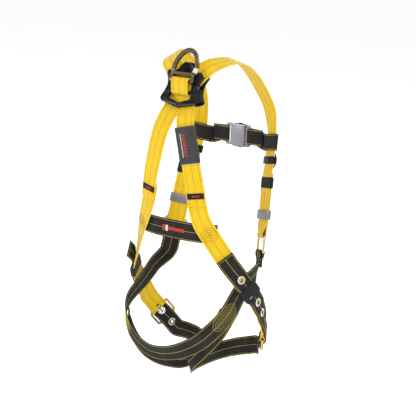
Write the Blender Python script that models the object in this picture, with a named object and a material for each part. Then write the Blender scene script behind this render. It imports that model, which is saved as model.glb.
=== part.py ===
"""Full-body fall-arrest harness, as worn: crossed shoulder straps with a dorsal plate and D-ring,
lumbar strap, sub-pelvic strap, leg straps with tongue buckles, chest strap and front hardware.
Lengths below are in millimetres; the wearer faces -Y and +Z is up."""
import math
import bpy
from mathutils import Vector
from mathutils.geometry import tessellate_polygon

MM = 0.001
WEB = 45.0          # webbing width
THK = 2.2           # webbing thickness
HALF = WEB / 2
PITCH = 17.0        # target spacing of the stations along a strap

for _ob in list(bpy.data.objects):
    bpy.data.objects.remove(_ob, do_unlink=True)


# ---------------------------------------------------------------- materials
def material(name, rgb, rough, metal=0.0):
    m = bpy.data.materials.new(name)
    m.use_nodes = True
    b = m.node_tree.nodes["Principled BSDF"]
    b.inputs["Base Color"].default_value = (*rgb, 1.0)
    b.inputs["Roughness"].default_value = rough
    b.inputs["Metallic"].default_value = metal
    m.diffuse_color = (*rgb, 1.0)
    return m


YELLOW = material("yellow_webbing", (0.86, 0.58, 0.01), 0.75)
BLACK = material("black_webbing", (0.02, 0.02, 0.021), 0.8)
ELASTIC = material("black_elastic", (0.03, 0.03, 0.032), 0.85)
PLASTIC = material("black_plastic", (0.012, 0.012, 0.013), 0.35)
BRONZE = material("bronze_steel", (0.36, 0.28, 0.17), 0.35, 1.0)
ZINC = material("yellow_zinc_steel", (0.62, 0.47, 0.2), 0.35, 1.0)
SILVER = material("grey_steel", (0.55, 0.55, 0.56), 0.35, 1.0)
EYELET = material("eyelet_metal", (0.78, 0.76, 0.7), 0.3, 1.0)
PAPER = material("label_paper", (0.8, 0.8, 0.78), 0.7)


# ---------------------------------------------------------------- solids
def solid(name, verts, faces, mat, origin=(0, 0, 0)):
    o = Vector(origin)
    me = bpy.data.meshes.new(name)
    me.from_pydata([tuple((Vector(v) - o) * MM) for v in verts], [], faces)
    me.materials.append(mat)
    ob = bpy.data.objects.new(name, me)
    ob.location = o * MM
    bpy.context.scene.collection.objects.link(ob)
    volume = 0.0
    for p in me.polygons:
        vs = [me.vertices[i].co for i in p.vertices]
        for i in range(1, len(vs) - 1):
            volume += vs[0].dot(vs[i].cross(vs[i + 1]))
    if volume < 0:
        me.flip_normals()
    return ob


class Seat:
    """A local frame: w across, t along, n outwards."""

    def __init__(self, o, t, n):
        self.o = Vector(o)
        self.t = Vector(t).normalized()
        n = Vector(n)
        self.n = (n - self.t * n.dot(self.t)).normalized()
        self.w = self.t.cross(self.n)

    def at(self, w, t, n):
        return self.o + self.w * w + self.t * t + self.n * n

    def moved(self, w=0, t=0, n=0):
        return Seat(self.at(w, t, n), self.t, self.n)


def slab(name, seat, plane, outline, holes, lo, hi, mat, origin=None):
    """Extrudes a flat outline with holes. plane names the outline's two axes and the third is swept."""
    third = ({"w", "t", "n"} - set(plane)).pop()

    def place(p, d):
        c = {plane[0]: p[0], plane[1]: p[1], third: d}
        return seat.at(c["w"], c["t"], c["n"])

    loops = [outline] + list(holes)
    flat = [Vector((p[0], p[1], 0)) for lp in loops for p in lp]
    count = len(flat)
    verts = [place(p, lo) for p in flat] + [place(p, hi) for p in flat]
    faces = []
    for tri in tessellate_polygon([[Vector((p[0], p[1], 0)) for p in lp] for lp in loops]):
        a, b, c = (flat[i] for i in tri)
        up = (b - a).cross(c - a).z > 0
        tri = tuple(tri) if up else tuple(reversed(tri))
        faces.append(tuple(reversed(tri)))
        faces.append(tuple(i + count for i in tri))
    start = 0
    for k, lp in enumerate(loops):
        n = len(lp)
        turn = sum(a[0] * b[1] - b[0] * a[1] for a, b in zip(lp, lp[1:] + lp[:1])) > 0
        forward = turn if k == 0 else not turn
        for i in range(n):
            a, b = start + i, start + (i + 1) % n
            if not forward:
                a, b = b, a
            faces.append((a, b, b + count, a + count))
        start += n
    return solid(name, verts, faces, mat, origin if origin is not None else (0, 0, 0))


def boxed(w, h, r=0.0, cx=0.0, cy=0.0, seg=2):
    """A rectangle outline, with rounded corners when r is given."""
    if not r:
        return [(cx - w / 2, cy - h / 2), (cx + w / 2, cy - h / 2), (cx + w / 2, cy + h / 2), (cx - w / 2, cy + h / 2)]
    out = []
    for k, (sx, sy) in enumerate(((1, 1), (-1, 1), (-1, -1), (1, -1))):
        for j in range(seg + 1):
            a = math.radians(90 * k + 90 * j / seg)
            out.append((cx + sx * (w / 2 - r) + r * math.cos(a), cy + sy * (h / 2 - r) + r * math.sin(a)))
    return out


def disc(r, n, cx=0.0, cy=0.0, a0=0.0):
    return [(cx + r * math.cos(a0 + 2 * math.pi * i / n), cy + r * math.sin(a0 + 2 * math.pi * i / n)) for i in range(n)]


def fuse(ob, others, op="UNION"):
    for other in others:
        md = ob.modifiers.new("join", "BOOLEAN")
        md.operation = op
        md.solver = "EXACT"
        md.object = other
        other.hide_render = True
        other.display_type = "WIRE"


# ---------------------------------------------------------------- strap paths
# A path is a list of (point, width direction); the outward side is width x travel.
def spline(ctrl, pitch=PITCH):
    """Even stations along a smooth curve through (point, normal) controls."""
    pts = [Vector(c[0]) for c in ctrl]
    nrm = [Vector(c[1]) for c in ctrl]
    pts = [2 * pts[0] - pts[1]] + pts + [2 * pts[-1] - pts[-2]]
    nrm = [nrm[0]] + nrm + [nrm[-1]]
    fine = []
    for i in range(1, len(pts) - 2):
        for j in range(16):
            u = j / 16
            fine.append(tuple(0.5 * (2 * q[i] + (q[i + 1] - q[i - 1]) * u
                                     + (2 * q[i - 1] - 5 * q[i] + 4 * q[i + 1] - q[i + 2]) * u * u
                                     + (3 * q[i] - q[i - 1] - 3 * q[i + 1] + q[i + 2]) * u ** 3)
                              for q in (pts, nrm)))
    fine.append((pts[-2], nrm[-2]))
    run = [0.0]
    for a, b in zip(fine, fine[1:]):
        run.append(run[-1] + (b[0] - a[0]).length)
    count = max(2, round(run[-1] / pitch))
    out, k = [], 0
    for i in range(count + 1):
        d = run[-1] * i / count
        while k < len(run) - 2 and run[k + 1] < d:
            k += 1
        u = (d - run[k]) / (run[k + 1] - run[k])
        out.append((fine[k][0].lerp(fine[k + 1][0], u), fine[k][1].lerp(fine[k + 1][1], u)))
    path = []
    for i, (p, n) in enumerate(out):
        t = (out[min(i + 1, count)][0] - out[max(i - 1, 0)][0]).normalized()
        path.append((p, t.cross(n).normalized()))
    return path


def flat_run(seat, pts):
    """Stations given as (t, n) pairs of a seat, with the width along the seat's w."""
    return [(seat.at(0, t, n), seat.w.copy()) for t, n in pts]


def wrap(seat, t, n, r, a0, a1, count):
    """Stations round a bar at (t, n): angles from +t towards +n, in degrees."""
    return flat_run(seat, [(t + r * math.cos(math.radians(a0 + (a1 - a0) * i / count)),
                            n + r * math.sin(math.radians(a0 + (a1 - a0) * i / count)))
                           for i in range(count + 1)])


def ribbon_frames(path, closed=False):
    out, m = [], len(path)
    for i, (p, s) in enumerate(path):
        a = path[(i - 1) % m][0] if closed or i else p
        b = path[(i + 1) % m][0] if closed or i < m - 1 else p
        t = Vector((0, 0, 0))
        if (p - a).length > 1e-6:
            t += (p - a).normalized()
        if (b - p).length > 1e-6:
            t += (b - p).normalized()
        t.normalize()
        s = (s - t * s.dot(t)).normalized()
        bend = 1.0
        if (p - a).length > 1e-6 and (b - p).length > 1e-6:
            bend = max(0.6, (p - a).normalized().dot(t))
        out.append((p, s, s.cross(t), bend))
    return out


def sweep(name, path, outer, mat, inner=None, closed=False, origin=(0, 0, 0)):
    """Sweeps a (w, n) outline, with an optional inner outline, along a path."""
    fr = ribbon_frames(path, closed)
    m = len(fr)
    verts, faces, base = [], [], []
    for loop in [outer] + ([inner] if inner else []):
        base.append(len(verts))
        for p, s, n, bend in fr:
            verts += [p + s * w + n * (h / bend) for w, h in loop]
        k = len(loop)
        for i in range(m if closed else m - 1):
            a, b = base[-1] + i * k, base[-1] + ((i + 1) % m) * k
            for j in range(k):
                # both faces of the webbing are split along the same diagonal, so a twist keeps its thickness
                g = (j + 1) % k
                if loop[j][0] < loop[g][0]:
                    pair = ((a + j, a + g, b + g), (a + j, b + g, b + j))
                else:
                    pair = ((a + j, a + g, b + j), (a + g, b + g, b + j))
                faces += [q if loop is outer else tuple(reversed(q)) for q in pair]
    k = len(outer)
    if not closed:
        for i, flip in ((0, True), (m - 1, False)):
            if inner:
                for j in range(k):
                    a, b = base[0] + i * k + j, base[0] + i * k + (j + 1) % k
                    c, d = base[1] + i * k + (j + 1) % k, base[1] + i * k + j
                    faces.append((b, a, d, c) if flip else (a, b, c, d))
            else:
                ring = tuple(base[0] + i * k + j for j in range(k))
                faces.append(tuple(reversed(ring)) if flip else ring)
    return solid(name, verts, faces, mat, origin)


def web(name, path, mat, width=WEB, thick=THK, closed=False):
    return sweep(name, path, boxed(width, thick), mat, closed=closed)


def sleeve(name, path, width, lo, hi, wall, mat, origin=(0, 0, 0)):
    """A closed band round whatever lies between lo and hi of the path's normal."""
    mid, tall = (lo + hi) / 2, hi - lo
    return sweep(name, path, boxed(width + 2 * wall, tall + 2 * wall, cy=mid), mat,
                 inner=boxed(width, tall, cy=mid), origin=origin)


def lean(psi, tilt=0.0, side=1):
    """Outward direction: psi turns from the back (+Y) round the side, tilt looks up."""
    a, b = math.radians(psi), math.radians(tilt)
    return Vector((side * math.sin(a) * math.cos(b), math.cos(a) * math.cos(b), math.sin(b)))


def body(points, side=1):
    """Controls from (x, y, z, psi, lift, tilt): lift is the height above the wearer."""
    out = []
    for x, y, z, psi, lift, tilt in points:
        n = lean(psi, tilt, side)
        out.append((Vector((side * x, y, z)) + n * lift, n))
    return out


# ---------------------------------------------------------------- seats
PAD_LEAN, RING_LEAN = math.radians(22), math.radians(28)
PAD = Seat((-2, 76, 326), (0, -math.sin(PAD_LEAN), math.cos(PAD_LEAN)), (0, 1, 0.3))


def front_seat(side):
    """The straight front strap: t runs up from the torso ring's top bar."""
    return Seat((side * 123.6, -91.8, -36.3), (side * -16, -51, 210), (side * 0.545, -0.84, 0))


def ring_seat(side):
    """The torso ring faces further round to the wearer's side than the strap above it."""
    f = front_seat(side)
    return Seat(f.o, f.t, (side * 0.71, -0.70, 0))


HIP = ((61, 110, 102, 14, 3, 0), (66, 108, 66, 17, 3, 0), (76, 102, 28, 24, 6, 0), (92, 90, -5, 33, 6, 0),
       (107, 75, -38, 42, 6.5, 0), (122, 58, -72, 51, 7.5, 0), (138, 42, -103, 61, 8.5, 0),
       (151, 24, -133, 73, 8.5, 0), (160, 1, -166, 86, 9, 0), (161, -25, -204, 99, 7.5, 0))
BUCKLE_AT = (148, -66, -270)     # base bar of the leg buckle, above the thigh


def buckle_seat(side):
    """t runs from the base bar towards the roller."""
    return Seat(Vector((side * BUCKLE_AT[0], BUCKLE_AT[1], BUCKLE_AT[2])) + lean(118, 0, side) * 6,
                (side * -12, -19, -27), lean(118, 0, side))


SIDES = (("right", -1), ("left", 1))

# ---------------------------------------------------------------- shoulder straps
BAR_R = 5.3         # centre line of webbing wrapped round a ring bar


RIDGE_AT = ((100, -141, 260), (93, -111, 308), (87, -72, 350), (84, -32, 377), (79, 6, 388), (69, 33, 386),
            (56, 55, 379))
RIDGE_LEAN = {1: ((160, 22), (158, 38), (142, 52), (114, 58), (68, 58), (34, 51), (12, 38)),
              -1: ((160, 22), (165, 38), (162, 54), (146, 70), (42, 76), (10, 60), (3, 40))}


def shoulder_path(side, level):
    """Over the shoulder on `side`, crossing in the dorsal plate to the other side's back."""
    f, g = front_seat(side), ring_seat(side)
    path = flat_run(f, [(150, 1.6), (130, 1.6), (60, 1.6), (26, 1.6)]) + flat_run(g, [(9, 4.2)])
    path += wrap(g, 0, 0, BAR_R, 72, 288, 7) + flat_run(g, [(9, -4.2)])
    path += flat_run(f, [(26, -1.6), (60, -1.6), (150, -1.6), (166, 0), (212, 0)])

    def pad(x, t):
        return PAD.at(-side * x, t, level), PAD.n

    over = [(f.at(0, 246, 0), f.n)]
    over += [(Vector((side * x, y, z)), lean(*slope, side)) for (x, y, z), slope in zip(RIDGE_AT, RIDGE_LEAN[side])]
    over += [pad(40, 42), pad(20, 16), pad(0, -10), pad(-11, -31), pad(-21, -54)]
    back = body(((27, 108, 256, 7, level - 2.5, 0), (35, 116, 228, 8, 3, 0), (43, 117, 197, 9, 3, 0),
                 (50, 117, 163, 11, 3, 0), (57, 114, 130, 13, 4.8, 0), (61, 110, 102, 14, 6.4, 0),
                 (66, 108, 66, 17, 6.4, 0)), -side)
    return path + spline(over + back)


SHOULDER = {}
for tag, side in SIDES:
    SHOULDER[tag] = shoulder_path(side, 5.5 if tag == "right" else 8.8)
    web("shoulder_strap_" + tag, SHOULDER[tag], YELLOW)

# ---------------------------------------------------------------- hip straps (to the leg buckles)
HIP_PATH = {}
EYE_STEP = 2        # stations between eyelets
for tag, side in SIDES:
    b = buckle_seat(side)
    way = spline(body(HIP, side) + [(b.at(0, -40, -3.6), b.n), (b.at(0, -14, -3.6), b.n)], 20.0)
    HIP_PATH[tag] = way
    EYE_AT = [len(way) - 5 - EYE_STEP * i for i in range(4)]
    for j in EYE_AT:            # the straps lie flat where an eyelet sits
        t = (way[j + 1][0] - way[j][0]).normalized()
        w = way[j][1] + way[j + 1][1]
        w = (w - t * w.dot(t)).normalized()
        way[j], way[j + 1] = (way[j][0], w), (way[j + 1][0], w)
    path = HIP_PATH[tag] + flat_run(b, [(-6, -4.6)]) + wrap(b, 0, 0, BAR_R, 255, 450, 7)
    path += flat_run(b, [(-8, 4.2), (-16, 0.4), (-24, -0.5), (-36, -0.5)])
    ob = web("hip_strap_" + tag, path, YELLOW)
    cut = slab("slot_cut_" + tag, b, "wt", boxed(9.6, 20), [], -9, 9, YELLOW)
    fuse(ob, [cut], "DIFFERENCE")

# ---------------------------------------------------------------- waist strap
web("waist_strap", spline([(Vector((x, y, 0)) + lean(psi, 0, 1) * 1.5, lean(psi, 0, 1)) for x, y, psi in
                           ((-112, 70, -46), (-92, 90, -33), (-60, 102, -14), (-30, 106, -5), (0, 107, 0),
                            (30, 106, 5), (60, 102, 14), (92, 90, 33), (112, 70, 46))]), BLACK)

# ---------------------------------------------------------------- sub-pelvic strap, ring to ring
RING_GAP = 40       # between the torso ring's two webbing bars


def flipped(path):
    return [(p, -s) for p, s in path]


def ring_end(side):
    """From the free end, over the torso ring's lower bar, to the layer next to the wearer."""
    f = ring_seat(side)
    path = flat_run(f, [(-RING_GAP - 36, 1.7), (-RING_GAP - 16, 1.7), (-RING_GAP - 9, 4.2)])
    path += wrap(f, -RING_GAP, 0, BAR_R, -252, -468, 7)
    return path + flat_run(f, [(-RING_GAP - 9, -4.2), (-RING_GAP - 16, -1.7), (-RING_GAP - 36, -1.7)])


UNDER = ([(Vector((-x, y, z)), lean(psi, tilt, -1)) for x, y, z, psi, tilt in
          ((144, -38, -112, 108, 0), (150, -4, -117, 90, 0), (147, 29, -132, 70, 0), (144, 54, -160, 56, 0),
           (137, 82, -195, 42, -4), (108, 100, -235, 24, -12), (72, 106, -269, 12, -20), (18, 108, -300, 3, -24))]
         + [(Vector((x, y, z)), lean(psi, tilt, 1)) for x, y, z, psi, tilt in
            ((38, 107, -313, 3, -24), (84, 101, -306, 10, -20), (128, 86, -284, 30, -12), (161, 62, -250, 52, -4),
             (171, 32, -222, 76, 0), (159, -6, -186, 94, 0), (149, -38, -150, 106, 0))])
web("sub_pelvic_strap", flipped(ring_end(-1)) + spline(UNDER) + list(reversed(ring_end(1))), BLACK)

# ---------------------------------------------------------------- leg straps (tongue, thigh, crotch, buttock)
TONGUE_LIFT = 3.9
TONGUE_TOP = {"right": -52, "left": -85}    # the left tongue is buckled one eyelet nearer its tip
EYE_CUT = 6.9
EYES = {}
for tag, side in SIDES:
    b = buckle_seat(side)
    hip = ribbon_frames(HIP_PATH[tag])
    first = next(i for i, q in enumerate(hip) if q[0].z < TONGUE_TOP[tag])
    path = [(p + n * TONGUE_LIFT, s) for p, s, n, bend in hip[first:-3]]
    if tag == "left":           # this free end stands off the hip and turns a little
        for i, rise, turn in ((0, 17, 0.27), (1, 3, 0.05)):
            n = hip[first + i][2]
            path[i] = (path[i][0] + n * rise, path[i][1] - n * turn)
    path += flat_run(b, [(-40, 2.8), (-24, 4.2), (-11, 7.2), (4.5, 8.3), (27, -3.9), (36, -6.9)])
    k = len(path) + 1
    if tag == "left":           # the spare eyelet, between buckle and thigh
        path += flat_run(b, [(43.5, -6.9), (66.5, -6.9)])
        front = [(b.at(0, 78, -6.9), b.n)] + body(((100, -113, -334, 148, 3, 0), (78, -117, -338, 160, 3, 0)), side)
    else:
        path += flat_run(b, [(52, -6.9)])
        front = [(b.at(0, 62, -6.9), b.n)] + body(((110, -108, -322, 140, 3, 0), (82, -118, -334, 157, 3, 0)), side)
    front += body(
        ((56, -112, -342, 174, 3, 0),
         (35, -92, -348, 197, 3, 0), (22, -60, -352, 229, 3, 0), (16, -20, -354, 262, 3, 0),
         (17, 18, -352, 280, 3, -4), (26, 50, -344, 306, 3, -12)), side)
    if tag == "right":
        seatward = body(((44, 80, -322, 337, 3, -20), (76, 90, -287, 357, 2, -20), (110, 91, -246, 18, 1, -12),
                         (131, 79, -204, 38, 0, -5), (137, 70, -183, 46, -1, -4)), side)
    else:
        seatward = body(((46, 80, -334, 340, 2, -20), (82, 90, -318, 2, 2, -20), (120, 80, -294, 22, 1.5, -12),
                         (150, 61, -262, 44, 1.5, -5), (161, 46, -242, 60, 1.5, -3)), side)
    path += spline(front + seatward)
    ob = web("leg_strap_" + tag, path, BLACK)
    EYES[tag] = []
    for j in [k - 4] + [q - first for q in EYE_AT if q - first > 2] + ([k - 1] if tag == "left" else []):
        a, c = path[j][0], path[j + 1][0]
        w = (path[j][1] + path[j + 1][1]).normalized()
        t = (c - a).normalized()
        EYES[tag].append(Seat((a + c) / 2, t, w.cross(t)))
    cuts = [slab("eye_cut_%s_%d" % (tag, i), e, "wt", disc(EYE_CUT, 12), [], -4, 4, BLACK)
            for i, e in enumerate(EYES[tag])]
    fuse(ob, cuts, "DIFFERENCE")

# ---------------------------------------------------------------- front hardware
CHEST_T = 224       # chest strap's height along the straight front strap
for tag, side in SIDES:
    f = front_seat(side)
    ring = ring_seat(side).moved(t=-RING_GAP / 2)
    slab("torso_ring_" + tag, ring, "wt", boxed(59, RING_GAP + 5, 7), [boxed(48.5, RING_GAP - 5, 3)],
         -2.2, 2.2, ZINC)
    slide = f.moved(t=50)
    slab("slide_buckle_" + tag, slide, "wn", boxed(54, 11.4, 3), [boxed(46.6, 6.4, 1)], -11, 11, SILVER)
    hold = f.at(0, 127, 0)
    slab("free_end_keeper_" + tag, f.moved(t=127), "wn", boxed(50, 9, 2), [boxed(46.6, 6.2, 1)],
         -13, 13, ELASTIC, origin=hold)
    base = f.moved(t=181)
    slab("lanyard_keeper_base_" + tag, base, "wn",
         [(-26, -3.4), (26, -3.4), (26, 2.4), (24, 3.4), (6, 3.4), (4.4, 7.2), (2.6, 8.4), (-2.6, 8.4),
          (-4.4, 7.2), (-6, 3.4), (-24, 3.4), (-26, 2.4)],
         [boxed(46.2, 3.4), disc(2.3, 8, 0, 5.4)], -9, 9, PLASTIC)
    hinge = base.moved(n=5.4)
    arc = [(0, t, 0) for t in (-14, -5, 5, 14)]
    arc += [(0, 19.5 * math.cos(a), 12.5 * math.sin(a)) for a in
            (math.radians(q) for q in (12, 35, 60, 90, 120, 145, 168))]
    sweep("lanyard_ring_" + tag, [(hinge.at(*q), hinge.w.copy()) for q in arc], disc(1.7, 6), PLASTIC,
          closed=True, origin=hinge.o)

# ---------------------------------------------------------------- chest strap and its buckle
CHEST_Y, CHEST_Z = -168, 181


def chest_seat(side):
    return Seat((0, CHEST_Y, CHEST_Z), (-side, 0, 0), (0, -1, 0))


for tag, side in SIDES:
    c, f = chest_seat(side), front_seat(side)
    bar = -31.5
    path = flat_run(c, [(bar - 38, -1.9), (bar - 14, -1.9), (bar - 7, -4.2)])
    path += wrap(c, bar, 0, BAR_R, -112, 112, 7)
    path += flat_run(c, [(bar - 7, 4.2), (bar - 14, 1.9)])
    path = flipped(path)

    def loop(w, n):
        return f.at(-side * w, CHEST_T, n)

    path += spline([(c.at(0, bar - 22, 1.9), c.n), (loop(44, 4.6), (c.n + f.n).normalized()),
                    (loop(30, 4.2), f.n)], 12)
    across = [(16, 3.4), (-14, 3.4)]
    across += [(-24.2 - 3.4 * math.sin(math.radians(a)), 3.4 * math.cos(math.radians(a)))
               for a in (0, 36, 72, 108, 144, 180)]
    across += [(-14, -3.4), (16, -3.4), (27, -2.6), (38, 0.7)]
    path += [(loop(w, n), f.t * -side) for w, n in across]
    web("chest_strap_" + tag, path, BLACK, width=40)

right = chest_seat(-1)          # t runs towards the wearer's left
shell = slab("chest_buckle_housing", right, "wt", boxed(56, 34, 4, cy=-4), [], 2.4, 6.2, SILVER)
parts = [slab("chest_housing_back", right, "wt", boxed(56, 34, 4, cy=-4), [], -6.2, -2.4, SILVER),
         slab("chest_housing_tail", right, "wt", boxed(54, 15.3, 3, cy=-26.85), [boxed(42, 7.4, cy=-25.2)], -2.2, 2.2,
              SILVER)]
parts += [slab("chest_housing_wall_%d" % i, right, "wt", boxed(6, h, cx=w, cy=t), [], -3, 3, SILVER)
          for i, (w, t, h) in enumerate(((24.6, -16.4, 7), (-24.6, -16.4, 7), (24.6, 6.5, 11), (-24.6, 6.5, 11)))]
fuse(shell, parts)
for word, i in (("lower", 1), ("upper", -1)):
    key = right.moved(w=i * 26, t=-6)
    slab("chest_release_" + word, key, "wt", boxed(7.6, 11.6, 1, cx=i * 0.6), [], -2, 2, PLASTIC, origin=key.o)
slab("chest_buckle_tongue", right, "wt",
     [(-20.5, -15), (-17, -17.8), (17, -17.8), (20.5, -15), (20.5, 15), (27, 18), (27, 31.5), (24, 34.5), (-24, 34.5),
      (-27, 31.5), (-27, 18), (-20.5, 15)], [boxed(42, 7.4, cy=25.2)], -2, 2, SILVER)

# ---------------------------------------------------------------- leg buckles
ROLLER_T = 38
for tag, side in SIDES:
    b = buckle_seat(side)
    slab("leg_buckle_frame_" + tag, b, "wt", boxed(62, 42.7, 6, cy=18.85), [boxed(50, 33.5, 2, cy=19.25)],
         -2, 2, ZINC)
    roller = b.moved(t=ROLLER_T + 0.1)
    slab("leg_buckle_roller_" + tag, roller, "tn", disc(4.7, 10), [disc(3.2, 10)], -23, 23, SILVER, origin=roller.o)
    blade = [(5.2 * math.cos(math.radians(q)), 5.2 * math.sin(math.radians(q))) for q in range(60, 331, 30)]
    blade += [(6, -0.2), (24, 2.2), (33.5, 5.1), (38, 5.4), (42, 5), (43.6, 6.2), (42.4, 7.4), (37, 7.8), (32.5, 7.2),
              (23, 4.3), (5, 2.2)]
    slab("leg_buckle_tongue_" + tag, b, "tn", blade, [disc(3.45, 10)], -2.3, 2.3, ZINC, origin=b.o)
    for i, e in enumerate(EYES[tag]):
        prof = [(5.8, -1.95), (10.2, -1.95), (10.2, -1.35), (6.3, -1.35), (6.3, 1.35), (10.2, 1.35), (10.2, 1.95),
                (5.8, 1.95)]
        n, m = 10, len(prof)
        verts = [e.at(r * math.cos(2 * math.pi * j / n), r * math.sin(2 * math.pi * j / n), h)
                 for j in range(n) for r, h in prof]
        faces = [(j * m + q, j * m + (q + 1) % m, ((j + 1) % n) * m + (q + 1) % m, ((j + 1) % n) * m + q)
                 for j in range(n) for q in range(m)]
        solid("grommet_%s_%d" % (tag, i + 1), verts, faces, EYELET, origin=e.o)
    hip = HIP_PATH[tag]
    a, c = hip[EYE_AT[2]], hip[EYE_AT[2] + 1]
    t = (c[0] - a[0]).normalized()
    slab("hip_keeper_" + tag, Seat((a[0] + c[0]) / 2, t, a[1].cross(t)), "wn", boxed(48.8, 12.1, 2, cy=1.85),
         [boxed(46.6, 9.9, cy=1.85)], -17, 17, ELASTIC)

# ---------------------------------------------------------------- labels on the back straps
for tag, side in SIDES:         # tag names the side of the back here
    path = SHOULDER["left" if tag == "right" else "right"]
    k = next(i for i, q in enumerate(path) if q[0].y > 60 and q[0].z < 112)
    a, c = path[k], path[k + 1]
    t = (c[0] - a[0]).normalized()
    mark = Seat((a[0] + c[0]) / 2, t, a[1].cross(t))
    slab("strap_tag_" + tag, mark, "wt", boxed(40, 13), [], 1.9, 2.7, ELASTIC)
path = SHOULDER["left"]
k = next(i for i, q in enumerate(path) if q[0].y > 60 and q[0].z < 252)
sleeve("label_pouch", path[k:k + 6], 47, -1.7, 6.2, 1.0, PLASTIC)
book = [(p + n * 4.0, s) for p, s, n, bend in ribbon_frames(path[k:k + 7])][1:]
book[-1] = (book[-2][0].lerp(book[-1][0], 0.2), book[-1][1])
web("label_booklet", book, PAPER, width=40, thick=2.4)

# ---------------------------------------------------------------- dorsal plate, D-ring and its loop
HALF_BASE = [(20, -46), (40, -41), (53, -37), (59, -32), (56, -24), (51, -13), (49, -4), (49.5, 6), (52, 15),
             (57, 25), (56, 31), (51, 35), (43, 37), (32, 34), (21, 39), (13, 52), (7, 57)]
HALF_COVER = [(20, -47), (38, -43), (47, -39), (49.5, -34), (46, -25), (41, -12), (38.5, -1), (39, 10), (43, 20),
              (47.5, 27), (45, 32), (38, 34), (29, 32), (20, 37), (12, 49), (6.5, 54)]
LOW_SLOT = [(-27, -18.2), (27, -18.2), (29, -24), (27, -31), (0, -40), (-27, -31), (-29, -24)]
HALF_WALL = [(40, -35), (46.5, -35), (44, -26), (39, -12.5), (37.2, -5), (35, -6), (33, -11), (34, -20), (37.5, -30)]


def mirrored(half, bottom, top):
    return [(0, bottom)] + half + [(0, top)] + [(-x, y) for x, y in reversed(half)]


plate = slab("dorsal_plate", PAD, "wt", mirrored(HALF_BASE, -51, 58), [], 0, 3.6, PLASTIC)
COVER = (15.0, 18.6)
cover = slab("plate_cover", PAD, "wt", mirrored(HALF_COVER, -52, 54), [boxed(54, 35.8, 5, cy=6.1), LOW_SLOT],
             *COVER, PLASTIC)
posts = [slab("plate_post_%d" % i, PAD, "wt", o, [], 3, 15.6, PLASTIC) for i, o in enumerate(
    (HALF_WALL, [(-x, y) for x, y in reversed(HALF_WALL)], [(-5, 44), (5, 44), (4, 52), (-4, 52)]))]
fuse(plate, [cover] + posts)

RING_BAR = (8.0, 25.6)          # D-ring's lower bar in the plate's (t, n)
PLATE_BAR = (-15.0, 16.9)
dx, dy = RING_BAR[0] - PLATE_BAR[0], RING_BAR[1] - PLATE_BAR[1]
lie = math.degrees(math.atan2(dy, dx))
spread = 90 + math.degrees(math.asin((7.2 - 5.3) / math.hypot(dx, dy)))
loop = wrap(PAD, *RING_BAR, 7.2, lie - spread, lie + spread, 8) + wrap(PAD, *PLATE_BAR, 5.3, lie + spread, lie + 360 - spread, 8)
web("ring_loop", loop, YELLOW, closed=True)

ring_at = PAD.at(0, *RING_BAR)
RING = Seat(ring_at, (0, -math.sin(RING_LEAN), math.cos(RING_LEAN)), (0, 1, 0.3))
half = [(27, -4.5), (31, -1), (31.5, 12), (33.5, 24), (34, 36), (31, 50), (25, 63), (15.5, 74), (5, 79)]
hole = [(22, 21), (24.5, 27), (24.5, 37), (21.5, 49), (16.5, 58), (9, 66), (3, 68.5)]
slab("dorsal_d_ring", RING, "wt", half + [(-x, y) for x, y in reversed(half)],
     [boxed(49, 9.5, 2, cy=9.5), hole + [(-x, y) for x, y in reversed(hole)]], -2.8, 2.8, BRONZE, origin=ring_at)
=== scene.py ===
"""Looks of the fall-arrest harness: webbing, stitching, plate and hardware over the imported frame.
Lengths below are in millimetres; the wearer faces -Y and +Z is up."""
from math import asin, atan2, ceil, cos, degrees, hypot, pi, radians, sin
import bpy
from mathutils import Matrix, Vector, noise
from mathutils.geometry import tessellate_polygon


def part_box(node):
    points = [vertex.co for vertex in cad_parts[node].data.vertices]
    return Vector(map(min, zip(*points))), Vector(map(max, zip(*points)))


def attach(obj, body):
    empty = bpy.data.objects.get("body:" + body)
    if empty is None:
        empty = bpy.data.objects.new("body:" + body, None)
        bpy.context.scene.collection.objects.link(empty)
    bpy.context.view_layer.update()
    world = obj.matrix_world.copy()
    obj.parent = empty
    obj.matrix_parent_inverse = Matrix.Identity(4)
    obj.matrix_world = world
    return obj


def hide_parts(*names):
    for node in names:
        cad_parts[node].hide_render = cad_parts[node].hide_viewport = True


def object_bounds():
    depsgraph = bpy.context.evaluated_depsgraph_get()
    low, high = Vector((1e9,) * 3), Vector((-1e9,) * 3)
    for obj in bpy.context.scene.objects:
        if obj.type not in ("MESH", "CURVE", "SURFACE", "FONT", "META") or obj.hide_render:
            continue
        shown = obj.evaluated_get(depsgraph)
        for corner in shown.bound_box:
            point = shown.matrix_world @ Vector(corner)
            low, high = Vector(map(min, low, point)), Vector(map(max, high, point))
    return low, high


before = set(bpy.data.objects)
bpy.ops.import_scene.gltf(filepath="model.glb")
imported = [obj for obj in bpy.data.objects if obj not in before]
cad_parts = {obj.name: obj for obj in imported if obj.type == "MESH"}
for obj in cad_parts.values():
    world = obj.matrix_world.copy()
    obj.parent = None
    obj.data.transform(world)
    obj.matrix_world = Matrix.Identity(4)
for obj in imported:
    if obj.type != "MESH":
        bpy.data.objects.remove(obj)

CAD_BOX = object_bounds()
MM = 0.001
ROOT = "harness"
SIDES = (("right", -1), ("left", 1))
WIDTH = 45.0        # harness webbing


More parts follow.
